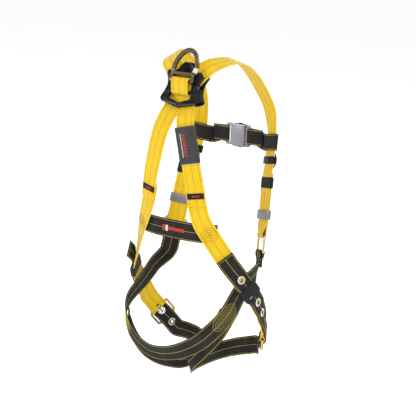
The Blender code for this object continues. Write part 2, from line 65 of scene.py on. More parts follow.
# ---- procedural materials
class Look:
    """Builds one node material around a Principled BSDF."""

    def __init__(self, name, rough=0.5, metal=0.0, **inputs):
        self.mat = bpy.data.materials.new(name)
        self.mat.use_nodes = True
        self.tree = self.mat.node_tree
        self.bsdf = self.tree.nodes["Principled BSDF"]
        self.put(self.bsdf.inputs["Roughness"], rough)
        self.put(self.bsdf.inputs["Metallic"], metal)
        for key, value in inputs.items():
            self.bsdf.inputs[key.replace("_", " ")].default_value = value
        self.coords = None

    def put(self, socket, value):
        if isinstance(value, bpy.types.NodeSocket):
            self.tree.links.new(value, socket)
        elif isinstance(value, (tuple, list)) and len(value) == 3 and socket.type == "RGBA":
            socket.default_value = (*value, 1.0)
        else:
            socket.default_value = value

    def node(self, kind, **settings):
        n = self.tree.nodes.new("ShaderNode" + kind)
        for key, value in settings.items():
            setattr(n, key, value)
        return n

    def calc(self, op, a, b=0.0):
        n = self.node("Math", operation=op)
        self.put(n.inputs[0], a)
        self.put(n.inputs[1], b)
        return n.outputs[0]

    def place(self, stretch=(1, 1, 1)):
        if self.coords is None:
            self.coords = self.node("TexCoord").outputs["Object"]
        m = self.node("Mapping")
        self.put(m.inputs["Vector"], self.coords)
        m.inputs["Scale"].default_value = stretch
        return m.outputs[0]

    def noise(self, scale, detail=3.0, stretch=(1, 1, 1), rough=0.5):
        n = self.node("TexNoise")
        self.put(n.inputs["Vector"], self.place(stretch))
        n.inputs["Scale"].default_value = scale
        n.inputs["Detail"].default_value = detail
        n.inputs["Roughness"].default_value = rough
        return n.outputs["Fac"]

    def span(self, value, lo, hi, out_lo=0.0, out_hi=1.0):
        n = self.node("MapRange", clamp=True)
        for i, v in enumerate((value, lo, hi, out_lo, out_hi)):
            self.put(n.inputs[i], v)
        return n.outputs[0]

    def mix(self, fac, a, b):
        n = self.node("Mix", data_type="RGBA")
        self.put(n.inputs[0], fac)
        self.put(n.inputs[6], a)
        self.put(n.inputs[7], b)
        return n.outputs[2]

    def finish(self, colour, height=None, strength=0.3, distance=0.0004, rough=None):
        self.put(self.bsdf.inputs["Base Color"], colour)
        if rough is not None:
            self.put(self.bsdf.inputs["Roughness"], rough)
        if height is not None:
            b = self.node("Bump")
            b.inputs["Strength"].default_value = strength
            b.inputs["Distance"].default_value = distance
            self.put(b.inputs["Height"], height)
            self.put(self.bsdf.inputs["Normal"], b.outputs[0])
        return self.mat


def woven(name, base, dark, pale, pick=1.5, end=1.9, depth=0.5, sheen=0.25, herring=0.5, shine=0.3):
    """Webbing: picks run across, ends along, in the strap's own flat coordinates; the weave's valleys get
    painted shade towards the dark colour.
    """
    m = Look(name, Sheen_Weight=sheen, Sheen_Roughness=0.4, Specular_IOR_Level=shine)
    uv = m.node("UVMap", uv_map="weave")
    axes = m.node("SeparateXYZ")
    m.put(axes.inputs[0], uv.outputs[0])
    u = m.calc("MULTIPLY", axes.outputs[0], 1000 / end)
    v = m.calc("MULTIPLY", axes.outputs[1], 1000 / pick)
    lane = m.calc("FLOOR", u)
    shift = m.calc("MULTIPLY", m.calc("MODULO", m.calc("ABSOLUTE", lane), 2.0), herring)
    rib = m.calc("ABSOLUTE", m.calc("SINE", m.calc("MULTIPLY", m.calc("ADD", v, shift), pi)))
    cord = m.calc("ABSOLUTE", m.calc("SINE", m.calc("MULTIPLY", u, pi)))
    yarn = m.noise(2600, 2.0)
    height = m.calc("ADD", m.calc("ADD", m.calc("MULTIPLY", rib, 0.6), m.calc("MULTIPLY", cord, 0.4)),
                    m.calc("MULTIPLY", yarn, 0.35))
    # painted shade: low parts of the weave are coloured towards dark, raised parts towards the faded base
    weave_valley_shade_mask = m.span(height, 0.25, 1.0)
    wear = m.span(m.noise(22, 4.0), 0.35, 0.75)
    soft = m.mix(wear, base, pale)
    colour = m.mix(weave_valley_shade_mask, dark, soft)
    return m.finish(colour, height, depth, 0.00035, m.span(wear, 0, 1, 0.72, 0.88))


def metal(name, base, pale, dark, rough=(0.22, 0.42)):
    """Plated metal: cloudy tone, fine brushed lines and paler edges, part wear and part painted highlight.
    """
    m = Look(name, metal=1.0)
    cloud = m.noise(28, 4.0)
    fine = m.noise(900, 3.0)
    lines = m.noise(160, 2.0, (1, 14, 1))
    # paler convex edges from pointiness: part edge wear, part painted highlight
    edge_wear_and_glint = m.span(m.node("NewGeometry").outputs["Pointiness"], 0.5, 0.56)
    tone = m.mix(m.span(cloud, 0.3, 0.7), base, dark)
    tone = m.mix(m.calc("MULTIPLY", edge_wear_and_glint, 0.6), tone, pale)
    r = m.calc("ADD", m.span(cloud, 0.3, 0.7, *rough), m.calc("MULTIPLY", m.span(lines, 0.5, 0.75), 0.1))
    height = m.calc("ADD", fine, m.calc("MULTIPLY", lines, 0.5))
    return m.finish(tone, height, 0.12, 0.0001, r)


def moulded(name, base, pale, rough, grain, shine=0.5):
    """Moulded or coated plastic with a fine grain and a little dust."""
    m = Look(name, Specular_IOR_Level=shine, Coat_Roughness=0.2)
    cloud = m.noise(45, 4.0)
    fine = m.noise(1500, 2.0)
    dust = m.span(m.noise(350, 5.0, rough=0.7), 0.62, 0.8)
    tone = m.mix(m.calc("MULTIPLY", dust, 0.5), m.mix(m.span(cloud, 0.3, 0.7), base, pale),
                 (0.16, 0.155, 0.15))
    return m.finish(tone, m.calc("ADD", fine, m.calc("MULTIPLY", cloud, 0.4)), grain, 0.0002,
                    m.span(cloud, 0.3, 0.7, *rough))


def plain_cloth(name, base, dark, scale=1400, sheen=0.3):
    """Thread, tape and print: fine twisted fibre."""
    m = Look(name, Sheen_Weight=sheen, Specular_IOR_Level=0.3)
    fibre = m.noise(scale, 3.0)
    rough = m.span(fibre, 0.3, 0.7, 0.6, 0.85)
    return m.finish(m.mix(m.span(fibre, 0.3, 0.7), dark, base), fibre, 0.4, 0.0002, rough)


# each webbing's second colour is painted shade for the weave's valleys
YELLOW = woven("yellow_polyester", (0.83, 0.54, 0.006), (0.45, 0.26, 0.003), (0.90, 0.62, 0.020), depth=0.8)
BLACK = woven("black_polyester", (0.020, 0.019, 0.0185), (0.0012, 0.0012, 0.0012), (0.044, 0.042, 0.040),
              pick=3.2, depth=1.0, sheen=0.04, shine=0.12)
ELASTIC = woven("black_knit_elastic", (0.016, 0.016, 0.017), (0.004, 0.004, 0.004), (0.030, 0.030, 0.031),
                pick=0.9, end=1.3, depth=0.9, herring=0.0, sheen=0.05, shine=0.15)
TRACER = plain_cloth("black_thread", (0.020, 0.018, 0.014), (0.005, 0.005, 0.004), sheen=0.05)
LIME = plain_cloth("olive_yellow_thread", (0.88, 0.76, 0.07), (0.55, 0.46, 0.03))
GOLD_THREAD = plain_cloth("golden_thread", (0.92, 0.60, 0.02), (0.62, 0.36, 0.008))
WHITE_THREAD = plain_cloth("white_thread", (0.75, 0.75, 0.72), (0.5, 0.5, 0.48))
RED_PRINT = plain_cloth("red_print", (0.60, 0.035, 0.018), (0.36, 0.018, 0.01), 900, 0.05)
WHITE_PRINT = plain_cloth("white_print", (0.72, 0.72, 0.70), (0.5, 0.5, 0.48), 900, 0.05)
PAPER = plain_cloth("coated_paper", (0.83, 0.82, 0.78), (0.70, 0.69, 0.65), 500, 0.0)
VINYL = moulded("pouch_vinyl", (0.016, 0.016, 0.018), (0.028, 0.028, 0.031), (0.42, 0.6), 0.45)
PLASTIC = moulded("black_nylon", (0.004, 0.004, 0.0045), (0.008, 0.008, 0.009), (0.14, 0.26), 0.08, 0.13)
POLISHED = moulded("polished_black_nylon", (0.006, 0.006, 0.0065), (0.012, 0.012, 0.013), (0.06, 0.14),
                   0.05, 0.7)
# each metal's second colour is for its edges: part wear, part painted highlight
BRONZE = metal("bronze_plated_steel", (0.20, 0.142, 0.085), (0.60, 0.50, 0.34), (0.10, 0.07, 0.04))
ZINC = metal("yellow_zinc_steel", (0.60, 0.42, 0.15), (0.80, 0.68, 0.42), (0.40, 0.27, 0.10))
STEEL = metal("grey_plated_steel", (0.15, 0.15, 0.16), (0.42, 0.42, 0.44), (0.09, 0.09, 0.10), (0.26, 0.46))
NICKEL = metal("nickel_eyelet", (0.60, 0.57, 0.52), (0.80, 0.78, 0.74), (0.40, 0.37, 0.32), (0.18, 0.34))
BRASS = metal("brass_eyelet_barrel", (0.42, 0.26, 0.08), (0.75, 0.56, 0.26), (0.22, 0.13, 0.04),
              (0.2, 0.36))


# ---- local frames and strap routes
class Seat:
    """A local frame: w across, t along, n outwards."""

    def __init__(self, o, t, n):
        self.o = Vector(o)
        self.t = Vector(t).normalized()
        n = Vector(n)
        self.n = (n - self.t * n.dot(self.t)).normalized()
        self.w = self.t.cross(self.n)

    def at(self, w, t, n):
        return self.o + self.w * w + self.t * t + self.n * n

    def moved(self, w=0, t=0, n=0):
        return Seat(self.at(w, t, n), self.t, self.n)


def spline(ctrl, pitch=17.0):
    """Even stations along a smooth curve through (point, normal) controls."""
    pts = [Vector(c[0]) for c in ctrl]
    nrm = [Vector(c[1]) for c in ctrl]
    pts = [2 * pts[0] - pts[1]] + pts + [2 * pts[-1] - pts[-2]]
    nrm = [nrm[0]] + nrm + [nrm[-1]]
    fine = []
    for i in range(1, len(pts) - 2):
        for j in range(16):
            u = j / 16
            fine.append(tuple(0.5 * (2 * q[i] + (q[i + 1] - q[i - 1]) * u
                                     + (2 * q[i - 1] - 5 * q[i] + 4 * q[i + 1] - q[i + 2]) * u * u
                                     + (3 * q[i] - q[i - 1] - 3 * q[i + 1] + q[i + 2]) * u ** 3)
                              for q in (pts, nrm)))
    fine.append((pts[-2], nrm[-2]))
    run = [0.0]
    for a, b in zip(fine, fine[1:]):
        run.append(run[-1] + (b[0] - a[0]).length)
    count = max(2, round(run[-1] / pitch))
    out, k = [], 0
    for i in range(count + 1):
        d = run[-1] * i / count
        while k < len(run) - 2 and run[k + 1] < d:
            k += 1
        u = (d - run[k]) / (run[k + 1] - run[k])
        out.append((fine[k][0].lerp(fine[k + 1][0], u), fine[k][1].lerp(fine[k + 1][1], u)))
    path = []
    for i, (p, n) in enumerate(out):
        t = (out[min(i + 1, count)][0] - out[max(i - 1, 0)][0]).normalized()
        path.append((p, t.cross(n).normalized()))
    return path


def flat_run(seat, pts):
    return [(seat.at(0, t, n), seat.w.copy()) for t, n in pts]


def wrap(seat, t, n, r, a0, a1, count):
    """Stations round a bar at (t, n): angles from +t towards +n, in degrees."""
    return flat_run(seat, [(t + r * cos(radians(a0 + (a1 - a0) * i / count)),
                            n + r * sin(radians(a0 + (a1 - a0) * i / count)))
                           for i in range(count + 1)])


def flipped(path):
    return [(p, -s) for p, s in path]


def frames_of(path):
    out, m = [], len(path)
    for i, (p, s) in enumerate(path):
        t = (path[min(i + 1, m - 1)][0] - path[max(i - 1, 0)][0]).normalized()
        s = (s - t * s.dot(t)).normalized()
        out.append((p, s, s.cross(t)))
    return out


def lean(psi, tilt=0.0, side=1):
    """The outward direction psi degrees round from the wearer's back, tilted up by tilt."""
    a, b = radians(psi), radians(tilt)
    return Vector((side * sin(a) * cos(b), cos(a) * cos(b), sin(b)))


def body(points, side=1):
    """Points (x, y, z, psi, lift, tilt) over the wearer, lifted off it along their outward normals."""
    out = []
    for x, y, z, psi, lift, tilt in points:
        n = lean(psi, tilt, side)
        out.append((Vector((side * x, y, z)) + n * lift, n))
    return out


def slopes(chord, gap):
    """The curve's direction at each inner point, from the chords and lengths on both sides."""
    return [(chord[i - 1] * gap[i] + chord[i] * gap[i - 1]) / (gap[i - 1] + gap[i])
            for i in range(1, len(gap))]


def between(p, q, a, b, u):
    """The point at u from p to q on a cubic curve that leaves p along a and meets q along b."""
    return (p * (1 + 2 * u) * (1 - u) ** 2 + a * u * (1 - u) ** 2 + q * u * u * (3 - 2 * u)
            + b * u * u * (u - 1))


class Strap:
    """A webbing's centre surface, finely sampled: d along it, w across, h above it."""

    def __init__(self, path, step=3.5):
        pts = [path[0]]
        for q in path[1:]:
            if (q[0] - pts[-1][0]).length > 1e-3:
                pts.append(q)
        gap = [(b[0] - a[0]).length for a, b in zip(pts, pts[1:])]
        chord = [(b[0] - a[0]) / g for a, b, g in zip(pts, pts[1:], gap)]
        tan = [chord[0]] + slopes(chord, gap) + [chord[-1]]
        fine = []
        for i, g in enumerate(gap):
            count = max(2, ceil(g / step))
            for j in range(count):
                u = j / count
                p = between(pts[i][0], pts[i + 1][0], tan[i] * g, tan[i + 1] * g, u)
                fine.append((p, pts[i][1].normalized().lerp(pts[i + 1][1].normalized(), u)))
        fine.append((pts[-1][0], pts[-1][1]))
        self.f = frames_of(fine)
        self.run = [0.0]
        for a, b in zip(self.f, self.f[1:]):
            self.run.append(self.run[-1] + (b[0] - a[0]).length)
        self.length = self.run[-1]

    def _span(self, d):
        d = min(max(d, 0.0), self.length)
        lo, hi = 0, len(self.run) - 1
        while hi - lo > 1:
            mid = (lo + hi) // 2
            lo, hi = (mid, hi) if self.run[mid] <= d else (lo, mid)
        u = (d - self.run[lo]) / (self.run[hi] - self.run[lo])
        return lo, hi, u

    def at(self, w, d, h=0.0):
        a, b, u = self._span(d)
        fa, fb = self.f[a], self.f[b]
        return (fa[0] + fa[1] * w + fa[2] * h).lerp(fb[0] + fb[1] * w + fb[2] * h, u)

    def normal(self, d):
        a, b, u = self._span(d)
        return self.f[a][2].lerp(self.f[b][2], u).normalized()

    def nearest(self, p):
        p = Vector(p)
        k = min(range(len(self.f)), key=lambda i: (self.f[i][0] - p).length_squared)
        return self.run[k]

    def stations(self, a, b, step=3.5):
        """Even distances from a to b."""
        count = max(2, ceil((b - a) / step))
        return [a + (b - a) * i / count for i in range(count + 1)]


# ---- mesh makers
def dress(ob, mat, stands_for=(), rides=ROOT):
    """Gives a piece its material and body and the CAD nodes that it replaces."""
    ob.data.materials.clear()
    ob.data.materials.append(mat)
    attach(ob, rides)
    if stands_for:
        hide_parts(*stands_for)
    return ob


def skin(count, k, closed=False):
    """Faces over count rings of k points each: closed into a loop, or capped at both ends."""
    faces = []
    for i in range(count if closed else count - 1):
        a, b = i * k, (i + 1) % count * k
        faces += [(a + j, a + (j + 1) % k, b + (j + 1) % k, b + j) for j in range(k)]
    if not closed:
        faces.append(tuple(reversed(range(k))))
        faces.append(tuple((count - 1) * k + j for j in range(k)))
    return faces


def solid(name, verts, faces, uvs=None, smooth=True, sharp=38):
    me = bpy.data.meshes.new(name)
    me.from_pydata([tuple(Vector(v) * MM) for v in verts], [], faces)
    if uvs:
        layer = me.uv_layers.new(name="weave")
        for poly in me.polygons:
            for li in poly.loop_indices:
                layer.data[li].uv = uvs[me.loops[li].vertex_index]
    volume = 0.0
    for p in me.polygons:
        vs = [me.vertices[i].co for i in p.vertices]
        for i in range(1, len(vs) - 1):
            volume += vs[0].dot(vs[i].cross(vs[i + 1]))
    if volume < 0:
        me.flip_normals()
    ob = bpy.data.objects.new(name, me)
    bpy.context.scene.collection.objects.link(ob)
    if smooth:
        me.shade_smooth()
        me.set_sharp_from_angle(angle=radians(sharp))
    return ob


def settle(ob, sharp=38):
    """Applies the modifiers and keeps the result as the mesh."""
    deps = bpy.context.evaluated_depsgraph_get()
    me = bpy.data.meshes.new_from_object(ob.evaluated_get(deps))
    old = ob.data
    ob.modifiers.clear()
    ob.data = me
    bpy.data.meshes.remove(old)
    me.shade_smooth()
    me.set_sharp_from_angle(angle=radians(sharp))
    return ob


def soften(ob, width, segments=3, angle=35):
    """Rounds the edges sharper than angle."""
    md = ob.modifiers.new("edge", "BEVEL")
    md.width = width * MM
    md.segments = segments
    md.limit_method = "ANGLE"
    md.angle_limit = radians(angle)
    md.use_clamp_overlap = True
    return settle(ob)


def combine(ob, others, op="UNION"):
    """Joins or cuts ob with the others and removes them."""
    for other in others:
        md = ob.modifiers.new("join", "BOOLEAN")
        md.operation = op
        md.solver = "EXACT"
        md.object = other
    settle(ob)
    for other in others:
        bpy.data.objects.remove(other, do_unlink=True)
    return ob


def slab(name, seat, plane, outline, holes, lo, hi):
    """Extrudes a flat outline with holes. plane names the outline's two axes and the third is swept."""
    third = ({"w", "t", "n"} - set(plane)).pop()

    def place(p, d):
        c = {plane[0]: p[0], plane[1]: p[1], third: d}
        return seat.at(c["w"], c["t"], c["n"])

    loops = [outline] + list(holes)
    flat = [Vector((p[0], p[1], 0)) for lp in loops for p in lp]
    count = len(flat)
    verts = [place(p, lo) for p in flat] + [place(p, hi) for p in flat]
    faces = []
    for tri in tessellate_polygon([[Vector((p[0], p[1], 0)) for p in lp] for lp in loops]):
        a, b, c = (flat[i] for i in tri)
        tri = tuple(tri) if (b - a).cross(c - a).z > 0 else tuple(reversed(tri))
        faces.append(tuple(reversed(tri)))
        faces.append(tuple(i + count for i in tri))
    start = 0
    for k, lp in enumerate(loops):
        n = len(lp)
        turn = sum(a[0] * b[1] - b[0] * a[1] for a, b in zip(lp, lp[1:] + lp[:1])) > 0
        for i in range(n):
            a, b = start + i, start + (i + 1) % n
            if turn != (k == 0):
                a, b = b, a
            faces.append((a, b, b + count, a + count))
        start += n
    return solid(name, verts, faces)


def boxed(w, h, r=0.0, cx=0.0, cy=0.0, seg=5):
    if not r:
        return [(cx + x * w / 2, cy + y * h / 2) for x, y in ((-1, -1), (1, -1), (1, 1), (-1, 1))]
    out = []
    for k, (sx, sy) in enumerate(((1, 1), (-1, 1), (-1, -1), (1, -1))):
        for j in range(seg + 1):
            a = radians(90 * k + 90 * j / seg)
            out.append((cx + sx * (w / 2 - r) + r * cos(a), cy + sy * (h / 2 - r) + r * sin(a)))
    return out


def disc(r, n, cx=0.0, cy=0.0):
    return [(cx + r * cos(2 * pi * i / n), cy + r * sin(2 * pi * i / n)) for i in range(n)]


def rounded(pts, per=4):
    """A closed outline smoothed through its points."""
    pts = [Vector(p) for p in pts]
    ahead = pts[1:] + pts[:1]
    gap = [(b - a).length for a, b in zip(pts, ahead)]
    chord = [(b - a) / g for a, b, g in zip(pts, ahead, gap)]
    tan = slopes(chord[-1:] + chord, gap[-1:] + gap)
    out = []
    for i, (p, q) in enumerate(zip(pts, ahead)):
        a, b = tan[i] * gap[i], tan[(i + 1) % len(tan)] * gap[i]
        out += [between(p, q, a, b, k / per) for k in range(per)]
    return out


def ribbon(name, strap, width=WIDTH, thick=2.2, lo=0.0, hi=None, columns=12, swell=0.12):
    """The webbing itself, with a woven surface's small unevenness."""
    half, r = thick / 2, thick * 0.42
    flat = width / 2 - r
    ring = [(-flat + 2 * flat * i / columns, half) for i in range(columns)]
    ring += [(flat + r * sin(radians(a)), half * cos(radians(a))) for a in range(0, 180, 30)]
    ring += [(-w, -h) for w, h in ring]
    ds = strap.stations(lo, strap.length if hi is None else hi)
    verts, uvs = [], []
    seed = Vector((len(name) * 3.1, 0, 0))
    for d in ds:
        for w, h in ring:
            ripple = swell * noise.noise(seed + Vector((d * 0.045, w * 0.05, 0)))
            verts.append(strap.at(w, d, h + ripple))
            uvs.append(((w + (0.6 if h < 0 else 0)) * MM, d * MM))
    return solid(name, verts, skin(len(ds), len(ring)), uvs, sharp=50)


class Stitches:
    """Collects many short thread floats into one object."""

    def __init__(self, name):
        self.name, self.verts, self.faces = name, [], []

    def float(self, a, b, n, wide=1.2, tall=0.42):
        t = (b - a).normalized()
        s = t.cross(n).normalized() * (wide / 2)
        k, up = len(self.verts), n.normalized()
        self.verts += [a - up * 0.1, b - up * 0.1]
        for u in (0.2, 0.8):
            c = a.lerp(b, u)
            self.verts += [c - s - up * 0.15, c + up * tall, c + s - up * 0.15]
        for j in range(3):
            g = (j + 1) % 3
            self.faces += [(k, k + 2 + g, k + 2 + j), (k + 1, k + 5 + j, k + 5 + g),
                           (k + 2 + j, k + 2 + g, k + 5 + g, k + 5 + j)]

    def rows(self, strap, offsets, lo, hi, top, dash=2.7, gap=1.9, sides=(1, -1), wide=1.5, tall=0.42):
        count = max(1, int((hi - lo) / (dash + gap)))
        step = (hi - lo) / count
        for side in sides:
            for w in offsets:
                for i in range(count):
                    d = lo + i * step
                    self.float(strap.at(w, d, side * top),
                               strap.at(w, d + step * dash / (dash + gap), side * top),
                               strap.normal(d) * side, wide, tall)

    def trail(self, strap, pts, top, dash=2.6, gap=1.1, side=1, wide=1.1, tall=0.42):
        """Stitches along a (w, d) polyline on the strap's face."""
        pts = [Vector(p) for p in pts]
        left, on = dash, True
        for a, b in zip(pts, pts[1:]):
            size, done = (b - a).length, 0.0
            while size - done > 1e-4:
                go = min(left, size - done)
                if on and go > 0.3:
                    p, q = a.lerp(b, done / size), a.lerp(b, (done + go) / size)
                    self.float(strap.at(p.x, p.y, side * top), strap.at(q.x, q.y, side * top),
                               strap.normal(p.y) * side, wide, tall)
                done += go
                left -= go
                if left < 1e-4:
                    on = not on
                    left = dash if on else gap

    def bartack(self, strap, w0, w1, d, top, tall=0.5, long=3.2, side=1):
        """A dense zigzag bar across the strap."""
        count = max(3, int((w1 - w0) / 0.9))
        for i in range(count):
            w = w0 + (w1 - w0) * (i + 0.5) / count
            self.float(strap.at(w - 0.3, d - long / 2, side * top),
                       strap.at(w + 0.3, d + long / 2, side * top), strap.normal(d) * side, 0.95, tall)

    def done(self, mat, rides=ROOT, slot=None):
        dress(solid(self.name, self.verts, self.faces, smooth=False), mat, (), rides)


def band(name, strap, lo, hi, width, bottom, top, wall, radius=1.2, step=3.0, bulge=0.0):
    """A closed band round whatever lies between bottom and top above the strap's centre."""
    mid, tall = (bottom + top) / 2, top - bottom
    outer = boxed(width + 2 * wall, tall + 2 * wall, radius + wall, cy=mid, seg=4)
    inner = boxed(width, tall, radius, cy=mid, seg=4)
    ds = strap.stations(lo, hi, step)
    k, m = len(outer), len(ds)
    verts, uvs = [], []
    for loop in (outer, inner):
        for i, d in enumerate(ds):
            puff = bulge * sin(pi * i / (m - 1)) if loop is outer else 0.0
            for w, h in loop:
                verts.append(strap.at(w, d, h + (puff if h > mid else -puff)))
                uvs.append(((w + h) * MM, d * MM))
    side = skin(m, k)[:-2]
    faces = side + [tuple(m * k + i for i in reversed(q)) for q in side]
    for i, turn in ((0, True), (m - 1, False)):
        for j in range(k):
            a, b = i * k + j, i * k + (j + 1) % k
            q = (a, b, m * k + b, m * k + a)
            faces.append(tuple(reversed(q)) if turn else q)
    ob = solid(name, verts, faces, uvs)
    return soften(ob, min(0.5, wall * 0.4), 2, 50)


def both_ways(half):
    """A profile completed by its own mirror image below height 0."""
    return half + [(r, -h) for r, h in reversed(half)]


def lathe(name, seat, profile, count=40):
    """Turns a closed (radius, height) profile round the seat's n axis."""
    verts = [seat.at(r * cos(2 * pi * j / count), r * sin(2 * pi * j / count), h)
             for j in range(count) for r, h in profile]
    return solid(name, verts, skin(count, len(profile), True), sharp=60)


def patch(name, strap, w0, w1, d0, d1, low, high, mat, stands_for=()):
    """A thin printed or sewn-on piece lying on the strap."""
    ds = strap.stations(d0, d1, 2.5)
    cols = max(1, int((w1 - w0) / 4))
    ws = [w0 + (w1 - w0) * i / cols for i in range(cols + 1)]
    ring = [(w, high) for w in ws] + [(w, low) for w in reversed(ws)]
    verts = [strap.at(w, d, h) for d in ds for w, h in ring]
    uvs = [(w * MM, d * MM) for d in ds for w, h in ring]
    dress(solid(name, verts, skin(len(ds), len(ring)), uvs, sharp=30), mat, stands_for)


# ---- where everything sits
PAD_LEAN, RING_LEAN = radians(22), radians(28)
PAD = Seat((-2, 76, 326), (0, -sin(PAD_LEAN), cos(PAD_LEAN)), (0, 1, 0.3))
BAR_R, RING_GAP = 5.3, 40           # bend of webbing round a bar, and the torso ring's two bars
SLIDE_T, KEEPER_T, LANYARD_T, CHEST_T = 50, 106, 181, 224       # places up the front strap
CHEST_Y, CHEST_Z, CHEST_BAR = -168, 181, -31.5
ROLLER_T = 38.1


def front_seat(side):
    return Seat((side * 123.6, -91.8, -36.3), (side * -16, -51, 210), (side * 0.545, -0.84, 0))


def ring_seat(side):
    """The torso ring faces further round to the wearer's side than the strap above it."""
    f = front_seat(side)
    return Seat(f.o, f.t, (side * 0.71, -0.70, 0))


def buckle_seat(side):
    return Seat(Vector((side * 148, -66, -270)) + lean(118, 0, side) * 6, (side * -12, -19, -27),
                lean(118, 0, side))


def chest_seat(side):
    return Seat((0, CHEST_Y, CHEST_Z), (-side, 0, 0), (0, -1, 0))


RIDGE_AT = ((100, -141, 260), (93, -111, 308), (87, -72, 350), (84, -32, 377), (79, 6, 388), (69, 33, 386),
            (56, 55, 379))
RIDGE_LEAN = {1: ((160, 22), (158, 38), (142, 52), (114, 58), (68, 58), (34, 51), (12, 38)),
              -1: ((160, 22), (165, 38), (162, 54), (146, 70), (42, 76), (10, 60), (3, 40))}


def shoulder_path(side, level):
    f, g = front_seat(side), ring_seat(side)
    path = flat_run(f, [(150, 1.6), (130, 1.6), (60, 1.6), (26, 1.6)]) + flat_run(g, [(9, 4.2)])
    path += wrap(g, 0, 0, BAR_R, 72, 288, 7) + flat_run(g, [(9, -4.2)])
    path += flat_run(f, [(26, -1.6), (60, -1.6), (150, -1.6), (166, 0), (212, 0)])

    def pad(x, t):
        return PAD.at(-side * x, t, level), PAD.n

    over = [(f.at(0, 246, 0), f.n)]
    over += [(Vector((side * x, y, z)), lean(*slope, side))
             for (x, y, z), slope in zip(RIDGE_AT, RIDGE_LEAN[side])]
    over += [pad(40, 42), pad(20, 16), pad(0, -10), pad(-11, -31), pad(-21, -54)]
    back = body(((27, 108, 256, 7, level - 2.5, 0), (35, 116, 228, 8, 3, 0), (43, 117, 197, 9, 3, 0),
                 (50, 117, 163, 11, 3, 0), (57, 114, 130, 13, 4.8, 0), (61, 110, 102, 14, 6.4, 0),
                 (66, 108, 66, 17, 6.4, 0)), -side)
    return path + spline(over + back)


HIP = ((61, 110, 102, 14, 3, 0), (66, 108, 66, 17, 3, 0), (76, 102, 28, 24, 6, 0), (92, 90, -5, 33, 6, 0),
       (107, 75, -38, 42, 6.5, 0), (122, 58, -72, 51, 7.5, 0), (138, 42, -103, 61, 8.5, 0),
       (151, 24, -133, 73, 8.5, 0), (160, 1, -166, 86, 9, 0), (161, -25, -204, 99, 7.5, 0))
UNDER = ([(Vector((-x, y, z)), lean(psi, tilt, -1)) for x, y, z, psi, tilt in
          ((144, -38, -112, 108, 0), (150, -4, -117, 90, 0), (147, 29, -132, 70, 0), (144, 54, -160, 56, 0),
           (137, 82, -195, 42, -4), (108, 100, -235, 24, -12), (72, 106, -269, 12, -20),
           (18, 108, -300, 3, -24))]
         + [(Vector((x, y, z)), lean(psi, tilt, 1)) for x, y, z, psi, tilt in
            ((38, 107, -313, 3, -24), (84, 101, -306, 10, -20), (128, 86, -284, 30, -12),
             (161, 62, -250, 52, -4), (171, 32, -222, 76, 0), (159, -6, -186, 94, 0),
             (149, -38, -150, 106, 0))])
TONGUE_LIFT = 3.9
TONGUE_TOP = {1: -85, -1: -52}      # the left tongue is buckled one eyelet nearer its tip


def ring_end(side):
    f = ring_seat(side)
    path = flat_run(f, [(-RING_GAP - 36, 1.7), (-RING_GAP - 16, 1.7), (-RING_GAP - 9, 4.2)])
    path += wrap(f, -RING_GAP, 0, BAR_R, -252, -468, 7)
    return path + flat_run(f, [(-RING_GAP - 9, -4.2), (-RING_GAP - 16, -1.7), (-RING_GAP - 36, -1.7)])


def hip_and_leg(side):
    """Both straps of one leg, the eyelets' seats and the keeper's place."""
    b = buckle_seat(side)
    way = spline(body(HIP, side) + [(b.at(0, -40, -3.6), b.n), (b.at(0, -14, -3.6), b.n)], 20.0)
    eyes = [len(way) - 5 - 2 * i for i in range(4)]
    for j in eyes:
        t = (way[j + 1][0] - way[j][0]).normalized()
        w = way[j][1] + way[j + 1][1]
        w = (w - t * w.dot(t)).normalized()
        way[j], way[j + 1] = (way[j][0], w), (way[j + 1][0], w)
    hip_path = way + flat_run(b, [(-6, -4.6)]) + wrap(b, 0, 0, BAR_R, 255, 450, 7)
    hip_path += flat_run(b, [(-8, 4.2), (-16, 0.4), (-24, -0.5), (-36, -0.5)])
    hip = frames_of(way)
    first = next(i for i, q in enumerate(hip) if q[0].z < TONGUE_TOP[side])
    path = [(p + n * TONGUE_LIFT, s) for p, s, n in hip[first:-3]]
    if side > 0:
        for i, rise, twist in ((0, 17, 0.27), (1, 3, 0.05)):
            n = hip[first + i][2]
            path[i] = (path[i][0] + n * rise, path[i][1] - n * twist)
    path += flat_run(b, [(-40, 2.8), (-24, 4.2), (-11, 7.2), (4.5, 8.3), (27, -3.9), (36, -6.9)])
    k = len(path) + 1
    if side > 0:
        path += flat_run(b, [(43.5, -6.9), (66.5, -6.9)])
        front = [(b.at(0, 78, -6.9), b.n)] + body(((100, -113, -334, 148, 3, 0),
                                                   (78, -117, -338, 160, 3, 0)), side)
    else:
        path += flat_run(b, [(52, -6.9)])
        front = [(b.at(0, 62, -6.9), b.n)] + body(((110, -108, -322, 140, 3, 0),
                                                   (82, -118, -334, 157, 3, 0)), side)
    front += body(((56, -112, -342, 174, 3, 0), (35, -92, -348, 197, 3, 0), (22, -60, -352, 229, 3, 0),
                   (16, -20, -354, 262, 3, 0), (17, 18, -352, 280, 3, -4), (26, 50, -344, 306, 3, -12)),
                  side)
    if side < 0:
        seatward = body(((44, 80, -322, 337, 3, -20), (76, 90, -287, 357, 2, -20),
                         (110, 91, -246, 18, 1, -12), (131, 79, -204, 38, 0, -5),
                         (137, 70, -183, 46, -1, -4)), side)
    else:
        seatward = body(((46, 80, -334, 340, 2, -20), (82, 90, -318, 2, 2, -20),
                         (120, 80, -294, 22, 1.5, -12), (150, 61, -262, 44, 1.5, -5),
                         (161, 46, -242, 60, 1.5, -3)), side)
    path += spline(front + seatward)
    seats = []
    for j in [k - 4] + [q - first for q in eyes if q - first > 2] + ([k - 1] if side > 0 else []):
        a, c = path[j][0], path[j + 1][0]
        w = (path[j][1] + path[j + 1][1]).normalized()
        t = (c - a).normalized()
        seats.append(Seat((a + c) / 2, t, w.cross(t)))
    keeper = (way[eyes[2]][0] + way[eyes[2] + 1][0]) / 2
    return Strap(hip_path), Strap(path), seats, keeper


